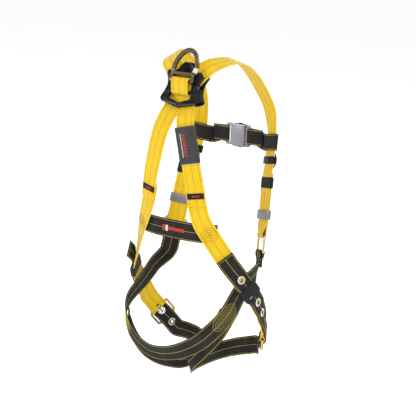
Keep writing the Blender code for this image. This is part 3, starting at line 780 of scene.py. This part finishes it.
SHOULDER = {tag: Strap(shoulder_path(side, 5.5 if tag == "right" else 8.8)) for tag, side in SIDES}
LEGS = {tag: hip_and_leg(side) for tag, side in SIDES}
EDGE = 16.5         # tracer rows on the yellow webbing
BORDER = 19.3       # stitch rows on the black webbing
TOP = 1.12          # webbing face above its centre surface
EYE_R = 6.9         # holes in the leg webbing behind the eyelets


# ---- webbing straps and their threads
def strap_piece(name, strap, mat, node, cuts=(), area=None, width=WIDTH, **more):
    """A strap's visible webbing with its cut-outs."""
    ob = ribbon(name, strap, width, **more)
    if cuts:
        combine(ob, cuts, "DIFFERENCE")
    dress(ob, mat, [node])


def oval(d, a, b, count=36):
    """A closed (w, d) oval on a strap's middle line, a across and b along."""
    turns = [2 * pi * i / count for i in range(count + 1)]
    return [(a * cos(q), d + b * sin(q)) for q in turns]


def box_stitch(st, strap, d0, d1, side):
    """A sewn rectangle with a cross in it."""
    w = 17
    st.trail(strap, [(-w, d0), (w, d0), (w, d1), (-w, d1), (-w, d0), (w, d1)], TOP, side=side)
    st.trail(strap, [(-w, d1), (w, d0)], TOP, side=side)


def border_rows(st, strap, offsets, lo, hi):
    """The long bright stitches of the black webbing."""
    st.rows(strap, offsets, lo, hi, TOP, 3.4, 1.2, wide=1.35)


for tag, side in SIDES:
    st = SHOULDER[tag]
    strap_piece("shoulder_webbing_" + tag, st, YELLOW, "shoulder_strap_" + tag)
    rows = Stitches("shoulder_tracer_" + tag)
    rows.rows(st, (-EDGE, 0, EDGE), 3, st.length - 3, TOP)
    for face in (1, -1):        # the sewn end of the ring loop
        box_stitch(rows, st, 6, 30, face)
    rows.done(TRACER)
    hem = Stitches("back_joint_thread_" + tag)
    end = st.length
    zigzag = [(-20 + 5 * i, end - (4.5 if i % 2 else 17.5)) for i in range(9)]
    for pts in ([(-20, end - 3), (20, end - 3)], [(-20, end - 19), (20, end - 19)], zigzag):
        hem.trail(st, pts, TOP, 2.6, 0.9)
    hem.done(GOLD_THREAD)

for tag, side in SIDES:
    hip, leg, eyes, keeper = LEGS[tag]
    b = buckle_seat(side)
    prong_slot = slab("slot_" + tag, b, "wt", boxed(9.6, 20), [], -9, 9)
    strap_piece("hip_webbing_" + tag, hip, YELLOW, "hip_strap_" + tag, [prong_slot])
    rows = Stitches("hip_tracer_" + tag)
    rows.rows(hip, (-EDGE, EDGE), 3, hip.length - 4, TOP)
    rows.rows(hip, (0,), 3, hip.length - 66, TOP)
    ring = hip.nearest((side * 90, 92, 0))
    for r in (18.5, 13, 7.5):
        rows.trail(hip, oval(ring, r, r), TOP, 2.6, 0.6, 1, 1.3)
    rows.trail(hip, [(-5, ring - 3), (-2, ring + 4), (1, ring - 4), (4, ring + 3)], TOP, 2.6, 0.4, 1, 1.3)
    rows.done(TRACER)

    holes = [slab("hole_%s_%d" % (tag, i), e, "wt", disc(EYE_R, 20), [], -4, 4) for i, e in enumerate(eyes)]
    area = (WIDTH * leg.length - len(eyes) * pi * EYE_R ** 2) * MM * MM
    strap_piece("leg_webbing_" + tag, leg, BLACK, "leg_strap_" + tag, holes, area)
    thread = Stitches("leg_thread_" + tag)
    border_rows(thread, leg, (-BORDER, BORDER), 4, leg.length - 3)
    marks = sorted(leg.nearest(e.o) for e in eyes)
    stops = [4] + [m + s for m in marks for s in (-12, 12)] + [leg.length - 3]
    for lo, hi in zip(stops[::2], stops[1::2]):
        if hi - lo > 6:
            border_rows(thread, leg, (0,), lo, hi)
    for face in (1, -1):
        thread.trail(leg, [(-BORDER, 3.5), (BORDER, 3.5)], TOP, 2.8, 1.2, face)
        thread.trail(leg, [(-BORDER, leg.length - 3), (BORDER, leg.length - 3)], TOP, 2.8, 1.2, face)
    thread.done(LIME)
    for i, e in enumerate(eyes):
        rim = [(5.9, 1.3), (5.75, 1.8), (6.2, 2.15), (7.4, 2.3), (8.8, 2.1), (9.9, 1.6), (10.1, 1.25),
               (6.4, 1.22)]
        ring = lathe("eyelet_%s_%d" % (tag, i + 1), e, both_ways(rim))
        dress(ring, NICKEL, ["grommet_%s_%d" % (tag, i + 1)])
        foot = 3.2 if i else 5.4        # the buckled eyelet leaves room for the prong
        liner = lathe("eyelet_barrel_%s_%d" % (tag, i + 1), e,
                      [(5.35, 1.5), (5.6, 1.9), (5.95, 1.95), (5.85, 1.4), (5.85, -1.4), (5.95, -1.95),
                       (5.6, -1.9), (foot, -1.6), (foot, -1.2), (5.2, -0.9)])
        dress(liner, BRASS)

waist_ctrl = [(Vector((x, y, 0)) + lean(psi) * 1.5, lean(psi)) for x, y, psi in
              ((-112, 70, -46), (-92, 90, -33), (-60, 102, -14), (-30, 106, -5), (0, 107, 0), (30, 106, 5),
               (60, 102, 14), (92, 90, 33), (112, 70, 46))]
WAIST = Strap(spline(waist_ctrl))
strap_piece("waist_webbing", WAIST, BLACK, "waist_strap", lo=13.0, hi=WAIST.length - 13)
thread = Stitches("waist_thread")
border_rows(thread, WAIST, (-BORDER, 0, BORDER), 15, WAIST.length - 15)
thread.done(LIME)

SEAT_STRAP = Strap(flipped(ring_end(-1)) + spline(UNDER) + list(reversed(ring_end(1))))
strap_piece("seat_webbing", SEAT_STRAP, BLACK, "sub_pelvic_strap")
thread = Stitches("seat_thread")
border_rows(thread, SEAT_STRAP, (-BORDER, 0, BORDER), 4, SEAT_STRAP.length - 4)
for x, y, z in ((-137, 82, -195), (152, 70, -262)):      # nested ovals at the leg joints
    d = SEAT_STRAP.nearest((x, y, z))
    for a, long in ((18.4, 38), (13.4, 31), (8.4, 24), (3.4, 17)):
        thread.trail(SEAT_STRAP, oval(d, a, long), TOP, 2.8, 0.7, 1, 1.1, 0.5)
for end in (12, SEAT_STRAP.length - 34):
    for face in (1, -1):
        box_stitch(thread, SEAT_STRAP, end, end + 22, face)
thread.done(LIME)

for tag, side in SIDES:
    c, f = chest_seat(side), front_seat(side)
    path = flat_run(c, [(CHEST_BAR - 38, -1.9), (CHEST_BAR - 14, -1.9), (CHEST_BAR - 7, -4.2)])
    path += wrap(c, CHEST_BAR, 0, BAR_R, -112, 112, 7)
    path += flat_run(c, [(CHEST_BAR - 7, 4.2), (CHEST_BAR - 14, 1.9)])
    path = flipped(path)

    def loop(w, n):
        return f.at(-side * w, CHEST_T, n)

    path += spline([(c.at(0, CHEST_BAR - 22, 1.9), c.n), (loop(44, 4.6), (c.n + f.n).normalized()),
                    (loop(30, 4.2), f.n)], 12)
    across = [(16, 3.4), (-14, 3.4)]
    across += [(-24.2 - 3.4 * sin(radians(a)), 3.4 * cos(radians(a))) for a in (0, 36, 72, 108, 144, 180)]
    across += [(-14, -3.4), (16, -3.4), (27, -2.6), (38, 0.7)]
    path += [(loop(w, n), f.t * -side) for w, n in across]
    chest = Strap(path)
    strap_piece("chest_webbing_" + tag, chest, BLACK, "chest_strap_" + tag, width=40.0, swell=0.08)
    thread = Stitches("chest_thread_" + tag)
    border_rows(thread, chest, (-17, 17), 3, chest.length - 3)
    thread.done(LIME)

# ---- dorsal plate, D-ring and its loop
HALF_BASE = [(20, -46), (40, -41), (53, -37), (59, -32), (56, -24), (51, -13), (49, -4), (49.5, 6),
             (52, 15), (57, 25), (56, 31), (51, 35), (43, 37), (32, 34), (21, 39), (13, 52), (7, 57)]
HALF_COVER = [(20, -47), (38, -43), (47, -39), (49.5, -34), (46, -25), (41, -12), (38.5, -1), (39, 10),
              (43, 20), (47.5, 27), (45, 32), (38, 34), (29, 32), (20, 37), (12, 49), (6.5, 54)]
LOW_SLOT = [(-27, -18.2), (27, -18.2), (29, -24), (27, -31), (0, -40), (-27, -31), (-29, -24)]
HALF_WALL = [(40, -35), (46.5, -35), (44, -26), (39, -12.5), (37.2, -5), (35, -6), (33, -11), (34, -20),
             (37.5, -30)]


def mirrored(half, bottom, top, fx=1.0, fy=1.0):
    """A whole outline from its right half, scaled, and its middle points at the bottom and top."""
    pts = [(x * fx, y * fy) for x, y in half]
    return [(0, bottom)] + pts + [(0, top)] + [(-x, y) for x, y in reversed(pts)]


base = slab("plate_base", PAD, "wt", rounded(mirrored(HALF_BASE, -51, 58), 3), [], 0, 3.6)
dress(soften(base, 1.1), PLASTIC, ["dorsal_plate"])
windows = [boxed(54, 35.8, 5, cy=6.1), LOW_SLOT]
cover = slab("plate_cover", PAD, "wt", rounded(mirrored(HALF_COVER, -52, 54), 3), windows, 15, 18.6)
dress(soften(cover, 1.2, 4), PLASTIC)
rim = slab("plate_rim", PAD, "wt", rounded(mirrored(HALF_COVER, -51, 53, 0.985, 0.985), 3),
           [rounded(mirrored(HALF_COVER, -46, 49.5, 0.90, 0.91), 3)], 18.2, 19.7)
dress(soften(rim, 0.7, 3), PLASTIC)
for k, s in enumerate((-1, 1)):
    post = slab("plate_post_%d" % k, PAD, "wt", [(s * x, y) for x, y in HALF_WALL], [], 3, 15.6)
    dress(soften(post, 0.8), PLASTIC)
    low, high = HALF_BASE[3:10], HALF_COVER[3:10]
    # grip ribs down the hollow sides, from the cover's edge to the base
    for j, (f, level) in enumerate(((0.12, 14.4), (0.38, 11.6), (0.63, 8.6), (0.86, 5.4))):
        pts = [(s * (b[0] * (1 - f) + a[0] * f - 2.2), b[1] * (1 - f) + a[1] * f)
               for a, b in zip(low, high)]
        if j > 1:               # the webbing leaves above these
            pts = pts[:4]
        spine = Strap([(PAD.at(x, t, level), PAD.w.copy()) for x, t in pts], 2.5)
        rib = ribbon("plate_rib_%d_%d" % (k, j), spine, 5.4, 2.5, swell=0, columns=3)
        dress(rib, POLISHED)
    a, b = (0.6, -47.6), (44.5, -38.6)      # a round bar along each half of the lower lip
    if s < 0:
        a, b = (0.6, -44.6), (41.5, -40.2)
    lip = Strap([(PAD.at(s * (a[0] + (b[0] - a[0]) * i / 4), a[1] + (b[1] - a[1]) * i / 4, 18.4),
                  PAD.t.copy())
                 for i in range(5)], 4.0)
    dress(ribbon("plate_lip_bar_%d" % k, lip, 4.4, 4.4, swell=0, columns=2), POLISHED)
post = slab("plate_post_top", PAD, "wt", [(-5, 44), (5, 44), (4, 52), (-4, 52)], [], 3, 15.6)
dress(soften(post, 0.8), PLASTIC)

RING_BAR, PLATE_BAR = (8.0, 25.6), (-15.0, 16.9)     # bars that the loop goes round, in the plate's (t, n)
RING_BAR_R = 7.2
dx, dy = RING_BAR[0] - PLATE_BAR[0], RING_BAR[1] - PLATE_BAR[1]
lie = degrees(atan2(dy, dx))
spread = 90 + degrees(asin((RING_BAR_R - BAR_R) / hypot(dx, dy)))
turn = wrap(PAD, *PLATE_BAR, BAR_R, lie + 180, lie + 360 - spread, 4)
turn += wrap(PAD, *RING_BAR, RING_BAR_R, lie - spread, lie + spread, 10)
turn += wrap(PAD, *PLATE_BAR, BAR_R, lie + spread, lie + 176, 5)
LOOP = Strap(turn, 2.5)
ob = dress(ribbon("ring_loop_webbing", LOOP, 44.4, 2.1, swell=0.04), YELLOW, ["ring_loop"])
rows = Stitches("ring_loop_tracer")
rows.rows(LOOP, (-EDGE, 0, EDGE), 2, LOOP.length - 2, TOP, sides=(-1,))
rows.done(TRACER)

ring_at = PAD.at(0, *RING_BAR)
RING = Seat(ring_at, (0, -sin(RING_LEAN), cos(RING_LEAN)), (0, 1, 0.3))
half = [(12, -4.4), (23, -4.4), (28, -3.6), (31, -0.4), (31.5, 12), (33.5, 24), (34, 36), (31, 50),
        (25, 63), (15.5, 74), (5, 79)]
hole = [(10, 21), (18.5, 21), (22.6, 22.6), (24.5, 27), (24.5, 37), (21.5, 49), (16.5, 58), (9, 66),
        (3, 68.5)]


def ring_outline(half):
    return rounded(half + [(-x, y) for x, y in reversed(half)])


slot = boxed(49, 9.5, 1.6, cy=9.5, seg=4)
ring = slab("d_ring", RING, "wt", ring_outline(half), [slot, ring_outline(hole)], -2.8, 2.8)
dress(soften(ring, 1.9, 5), BRONZE, ["dorsal_d_ring"], rides="dorsal_ring")
arm = [RING.at(w, t, 0) for w, t in ((28.2, 22), (29.0, 26), (29.2, 29.5), (29.3, 33))]
label = Strap([(p, RING.w.copy()) for p in arm], 2.0)
ob = band("ring_sticker", label, 0, label.length, 10.6, -2.85, 2.85, 0.22, 1.4, 2.0)
dress(ob, WHITE_PRINT, rides="dorsal_ring")


# ---- front hardware
for tag, side in SIDES:
    f = front_seat(side)
    ring = slab("torso_ring_body_" + tag, ring_seat(side).moved(t=-RING_GAP / 2), "wt",
                boxed(59, RING_GAP + 5, 7), [boxed(48.5, RING_GAP - 5, 3)], -2.2, 2.2)
    dress(soften(ring, 1.75, 5), ZINC, ["torso_ring_" + tag])

    slide, rides = f.moved(t=SLIDE_T), "slide_buckle_" + tag
    shell = slab("slide_body_" + tag, slide, "wn", boxed(54, 11.4, 3), [boxed(46.6, 7.0, 1)], -11, 11)
    cuts = [slab("slide_cut_" + tag, slide, "wt", boxed(40, 4.6, 1.6, cy=t), [], 3.6, 7)
            for t in (5.2, -5.2)]
    combine(shell, cuts, "DIFFERENCE")
    dress(soften(shell, 0.7, 3), STEEL, ["slide_buckle_" + tag], rides=rides)
    for k in range(-9, 10):     # knurls on the middle bar
        tooth = slab("slide_knurl_%s_%d" % (tag, k + 9), slide, "wt", boxed(1.1, 4.4, 0.4, cx=k * 2.1), [],
                     5.5, 6.1)
        dress(soften(tooth, 0.18, 2), STEEL, rides=rides)

    hold = Strap([(f.at(0, t, 0), f.w.copy()) for t in range(KEEPER_T, KEEPER_T + 43, 3)], 3.0)
    keep = band("free_end_band_" + tag, hold, 8, 34, 46.6, -3.1, 3.1, 1.6, 1.4, 2.6, 0.25)
    dress(keep, ELASTIC, ["free_end_keeper_" + tag], rides="free_end_keeper_" + tag)
    seam = Stitches("free_end_band_thread_" + tag)
    for w in (-16, 16):
        seam.bartack(hold, w - 3, w + 3, 21, 4.95, 0.35, 8)
    seam.done(TRACER, "free_end_keeper_" + tag, slot="black_elastic")

    base = f.moved(t=LANYARD_T)
    saddle = slab("lanyard_base_" + tag, base, "wn",
                  [(-26, -3.4), (26, -3.4), (26, 2.4), (24, 3.4), (7.5, 3.4), (5.6, 6.2), (4.4, 7.6),
                   (2.6, 8.4), (-2.6, 8.4), (-4.4, 7.6), (-5.6, 6.2), (-7.5, 3.4), (-24, 3.4), (-26, 2.4)],
                  [boxed(46.2, 3.4), disc(2.3, 20, 0, 5.4)], -9, 9)
    dress(soften(saddle, 0.6, 3, 40), PLASTIC, ["lanyard_keeper_base_" + tag])
    for k in (-1, 1):
        for j in range(3):
            grip = slab("lanyard_base_rib_%s_%d_%d" % (tag, k + 1, j), base, "wt",
                        boxed(1.6, 13, 0.7, cx=k * (12 + 3.4 * j)), [], 3.2, 4.0)
            dress(soften(grip, 0.3, 2), PLASTIC)
    hinge = base.moved(n=5.4)
    arc = [(0, t, 0) for t in (-14, -9, -4, 0, 4, 9, 14)]
    arc += [(0, 19.5 * cos(radians(a)), 12.5 * sin(radians(a)))
            for a in (10, 22, 38, 54, 72, 90, 108, 126, 142, 158, 170)]
    pts = [hinge.at(*q) for q in arc]
    verts = []
    for i, p in enumerate(pts):
        t = (pts[(i + 1) % len(pts)] - pts[i - 1]).normalized()
        v = hinge.w.cross(t).normalized()
        verts += [p + (hinge.w * x + v * y) * 1.7 for x, y in disc(1, 12)]
    wire = solid("lanyard_half_ring_" + tag, verts, skin(len(pts), 12, True), sharp=80)
    dress(wire, PLASTIC, ["lanyard_ring_" + tag], rides="lanyard_ring_" + tag)

# ---- chest buckle
right = chest_seat(-1)
shell = slab("chest_shell", right, "wt", boxed(56, 34, 4, cy=-4), [boxed(34, 17, 2.5, cy=-4)], 2.4, 6.2)
more = [slab("chest_panel", right, "wt", boxed(36, 19, 3, cy=-4), [], 2.6, 5.5),
        slab("chest_back", right, "wt", boxed(56, 34, 4, cy=-4), [], -6.2, -2.4),
        slab("chest_tail", right, "wt", boxed(54, 15.3, 3, cy=-26.85), [boxed(42, 7.4, 1.2, cy=-25.2)],
             -2.2, 2.2)]
more += [slab("chest_wall_%d" % i, right, "wt", boxed(6, h, cx=w, cy=t), [], -3, 3)
         for i, (w, t, h) in enumerate(((24.6, -16.4, 7), (-24.6, -16.4, 7), (24.6, 6.5, 11),
                                        (-24.6, 6.5, 11)))]
combine(shell, more)
dress(soften(shell, 0.55, 2), STEEL, ["chest_buckle_housing"])
for i, (w, t) in enumerate(((22.5, -16), (-22.5, -16), (22.5, 8), (-22.5, 8))):
    for s in (1, -1):
        dome = lathe("chest_rivet_%d_%d" % (i, s + 1), Seat(right.at(w, t, 0), right.t, right.n * s),
                     [(0.02, 6.0), (2.1, 6.0), (2.1, 6.35), (1.7, 6.75), (1.0, 7.0), (0.02, 7.05)], 20)
        dress(dome, STEEL)
for word, i in (("lower", 1), ("upper", -1)):
    key = right.moved(w=i * 26, t=-6)
    cap = slab("chest_button_" + word, key, "wt", boxed(7.6, 11.6, 1.6, cx=i * 0.6), [], -2, 2)
    ribs = [slab("notch_%s_%d" % (word, k), key, "tn", boxed(0.8, 6, cx=k * 2.1), [],
                 *sorted((i * 3.9, i * 5)))
            for k in (-2, -1, 0, 1, 2)]
    combine(cap, ribs, "DIFFERENCE")
    dress(soften(cap, 0.25, 2), PLASTIC, ["chest_release_" + word], rides="chest_release_" + word)
tongue = slab("chest_tongue", right, "wt",
              [(-20.5, -15), (-17, -17.8), (17, -17.8), (20.5, -15), (20.5, 15), (27, 18), (27, 31.5),
               (24, 34.5), (-24, 34.5), (-27, 31.5), (-27, 18), (-20.5, 15)],
              [boxed(42, 7.4, 1.6, cy=25.2)], -2, 2)
dress(soften(tongue, 0.8, 3), STEEL, ["chest_buckle_tongue"])

# ---- leg buckles and hip keepers
for tag, side in SIDES:
    b = buckle_seat(side)
    hip, leg, eyes, keeper = LEGS[tag]
    bow = slab("leg_buckle_body_" + tag, b, "wt", boxed(62, 42.7, 6, cy=18.85),
               [boxed(50, 33.5, 2.4, cy=19.25)], -2, 2)
    dress(soften(bow, 1.5, 5), ZINC, ["leg_buckle_frame_" + tag])
    axis = b.moved(t=ROLLER_T)
    axis.n, axis.w = axis.w, axis.n
    tube = [(3.2, -22.6), (3.5, -23), (4.3, -23), (4.7, -22.6), (4.7, -19), (4.5, -18.6), (4.5, -17.4),
            (4.7, -17)]
    tube = lathe("leg_roller_tube_" + tag, axis, both_ways(tube), 32)
    dress(tube, STEEL, ["leg_buckle_roller_" + tag], rides="leg_roller_" + tag)
    blade = [(5.2 * cos(radians(q)), 5.2 * sin(radians(q))) for q in range(60, 331, 15)]
    blade += [(6, -0.2), (14, 0.8), (24, 2.2), (33.5, 5.1), (38, 5.4), (42, 5), (43.6, 6.2), (42.4, 7.4),
              (37, 7.8), (32.5, 7.2), (23, 4.3), (13, 3.1), (5, 2.2)]
    prong = slab("leg_tongue_prong_" + tag, b, "tn", blade, [disc(3.45, 20)], -2.3, 2.3)
    dress(soften(prong, 0.7, 3), ZINC, ["leg_buckle_tongue_" + tag], rides="leg_tongue_" + tag)

    d = hip.nearest(keeper)
    wide = band("hip_band_" + tag, hip, d - 17, d + 17, 46.9, -3.25, 6.95, 1.1, 1.6, 3.0, 0.3)
    dress(wide, ELASTIC, ["hip_keeper_" + tag])
    tack = Stitches("hip_band_tack_" + tag)
    tack.bartack(hip, 6, 15, d + 9, 8.3, 0.5, 2.4)
    tack.done(WHITE_THREAD)
    edge = Stitches("hip_band_thread_" + tag)
    for s in (-14.5, 14.5):
        edge.trail(hip, [(-21, d + s), (21, d + s)], 8.15, 2.4, 1.6)
    edge.done(TRACER, slot="black_elastic")

# ---- labels on the back straps
POUCH_LONG = 83.5
for tag, side in SIDES:
    st = SHOULDER["left" if tag == "right" else "right"]
    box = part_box("strap_tag_" + tag)
    mid = [(box[0][i] + box[1][i]) / 2 / MM for i in range(3)]
    d = st.nearest(mid)
    patch("tag_cloth_" + tag, st, -20, 20, d - 6.8, d + 6.8, 1.25, 2.35, ELASTIC, ["strap_tag_" + tag])
    edge = Stitches("tag_thread_" + tag)
    for s in (-5.6, 5.6):
        edge.trail(st, [(-18.5, d + s), (18.5, d + s)], 2.35, 1.8, 0.9, wide=0.6, tall=0.2)
    edge.done(TRACER, slot="black_elastic")
    for k in range(5):
        patch("tag_mark_%s_%d" % (tag, k), st, -9 + 3.8 * k, -6.6 + 3.8 * k, d - 2, d + 2, 2.3, 2.5,
              RED_PRINT)

st = SHOULDER["left"]
low, high = (Vector(q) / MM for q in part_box("label_pouch"))
d0 = st.nearest(((low.x + high.x) / 2 + 4, high.y, high.z - 5))
d1 = d0 + POUCH_LONG
pouch = band("pouch_sleeve", st, d0, d1, 47, -1.7, 6.2, 1.0, 2.4, 3.0, 0.35)
dress(pouch, VINYL, ["label_pouch"])
for word, a in (("top", d0 + 1.5), ("foot", d1 - 7.5)):
    patch("pouch_hem_" + word, st, -23.5, 23.5, a, a + 6, 7.0, 7.7, VINYL)
patch("pouch_flap", st, -24.2, -19.5, d0 + 7, d1 - 7, 7.0, 7.6, VINYL)
seam = Stitches("pouch_thread")
for a in (d0 + 6.3, d1 - 6.3):
    seam.trail(st, [(-22.5, a), (22.5, a)], 7.72, 2.4, 1.4, wide=0.7, tall=0.25)
for w in (-21.4, 22.3):
    seam.trail(st, [(w, d0 + 8), (w, d1 - 8)], 7.6 if w < 0 else 7.4, 2.4, 1.4, wide=0.7, tall=0.25)
seam.done(TRACER, slot="black_plastic")
for k in range(7):              # a plain red ladder and a thin white line, in place of a printed mark
    a = d0 + 16 + 7.4 * k
    patch("pouch_mark_%d" % k, st, 1.5, 8.5 if k % 2 else 7, a, a + 5.2, 7.2, 7.75, RED_PRINT)
patch("pouch_line", st, 11.5, 13, d0 + 14, d0 + 68, 7.2, 7.7, WHITE_PRINT)

leaf = Strap([(q[0] + q[2] * 4.0, q[1]) for q in st.f if d0 + 12 <= st.nearest(q[0]) <= d1 + 4])
book = ribbon("booklet_leaves", leaf, 40.0, 2.4, swell=0.25)
dress(book, PAPER, ["label_booklet"])
for k, h in enumerate((-0.6, 0.0, 0.6)):    # the edges of the sheets at its foot
    patch("booklet_sheet_%d" % k, leaf, -19.6 + k * 0.4, 19.8 - k * 0.5, leaf.length - 6, leaf.length,
          h - 0.2, h + 0.2, PAPER)

# a plain mark on the waist strap: a row of bars
for k in range(7):
    w0 = WAIST.nearest((0, 108, 0)) + (k - 3) * 8.8
    tall = 4.4 if k < 5 else 7.0
    patch("waist_mark_%d" % k, WAIST, -tall, tall, w0 - 3.2, w0 + 3.2, 0.9, 1.45,
          WHITE_PRINT if k == 5 else RED_PRINT)

# ---- floor, light and camera
floor_z = CAD_BOX[0][2] - 0.03      # the worn harness hangs clear of the floor
me = bpy.data.meshes.new("studio_floor")
me.from_pydata([(-30, -30, floor_z), (30, -30, floor_z), (30, 30, floor_z), (-30, 30, floor_z)], [],
               [(0, 1, 2, 3)])
floor = bpy.data.objects.new("studio_floor", me)
bpy.context.scene.collection.objects.link(floor)
pale = Look("studio_floor", 0.9, Emission_Color=(1, 1, 1, 1), Emission_Strength=0.55)
floor.data.materials.append(pale.finish(pale.mix(pale.noise(1.2, 2.0), (0.80, 0.80, 0.80),
                                                 (0.84, 0.84, 0.84))))

world = bpy.data.worlds.new("studio")
world.use_nodes = True
sky = world.node_tree
high = sky.nodes.new("ShaderNodeSeparateXYZ")
sky.links.new(sky.nodes.new("ShaderNodeTexCoord").outputs["Generated"], high.inputs[0])
fade = sky.nodes.new("ShaderNodeMapRange")      # bright low down, dimmer overhead
for slot, value in ((1, 0.12), (2, 0.5), (3, 0.95), (4, 0.42)):
    fade.inputs[slot].default_value = value
sky.links.new(high.outputs["Z"], fade.inputs[0])
sky.nodes["Background"].inputs["Color"].default_value = (1, 1, 1, 1)
sky.links.new(fade.outputs[0], sky.nodes["Background"].inputs["Strength"])
bpy.context.scene.world = world
bpy.context.scene.view_settings.view_transform = "Standard"


def lamp(name, at, aim, size, power):
    data = bpy.data.lights.new(name, "AREA")
    data.size = size
    data.energy = power
    ob = bpy.data.objects.new(name, data)
    ob.location = at
    ob.rotation_euler = (Vector(aim) - Vector(at)).to_track_quat("-Z", "Y").to_euler()
    bpy.context.scene.collection.objects.link(ob)


lamp("key", (-2.6, 2.4, 2.4), (0, 0, 0.05), 1.0, 62)
lamp("fill", (2.4, 2.6, 1.2), (0, 0, 0.05), 1.6, 34)
lamp("front", (-1.0, -3.0, 1.6), (0, 0, 0.05), 1.8, 40)
lamp("top", (0, 0, 3.2), (0, 0, 0), 1.4, 32)

TURN, RISE, AWAY, TILT = radians(32), radians(14.5), 3.0, radians(2.3)
back = Vector((-sin(TURN) * cos(RISE), cos(TURN) * cos(RISE), sin(RISE)))
across = Vector((-cos(TURN), -sin(TURN), 0))
up = back.cross(across)
across, up = across * cos(TILT) + up * sin(TILT), up * cos(TILT) - across * sin(TILT)
view = bpy.data.cameras.new("camera")
view.lens = 109.1
view.sensor_width = 36
view.clip_end = 100
cam = bpy.data.objects.new("camera", view)
cam.matrix_world = Matrix.Translation(Vector((-0.015, -0.0177, 0.0274)) + back * AWAY) @ Matrix(
    (across, up, back)).transposed().to_4x4()
bpy.context.scene.collection.objects.link(cam)
bpy.context.scene.camera = cam
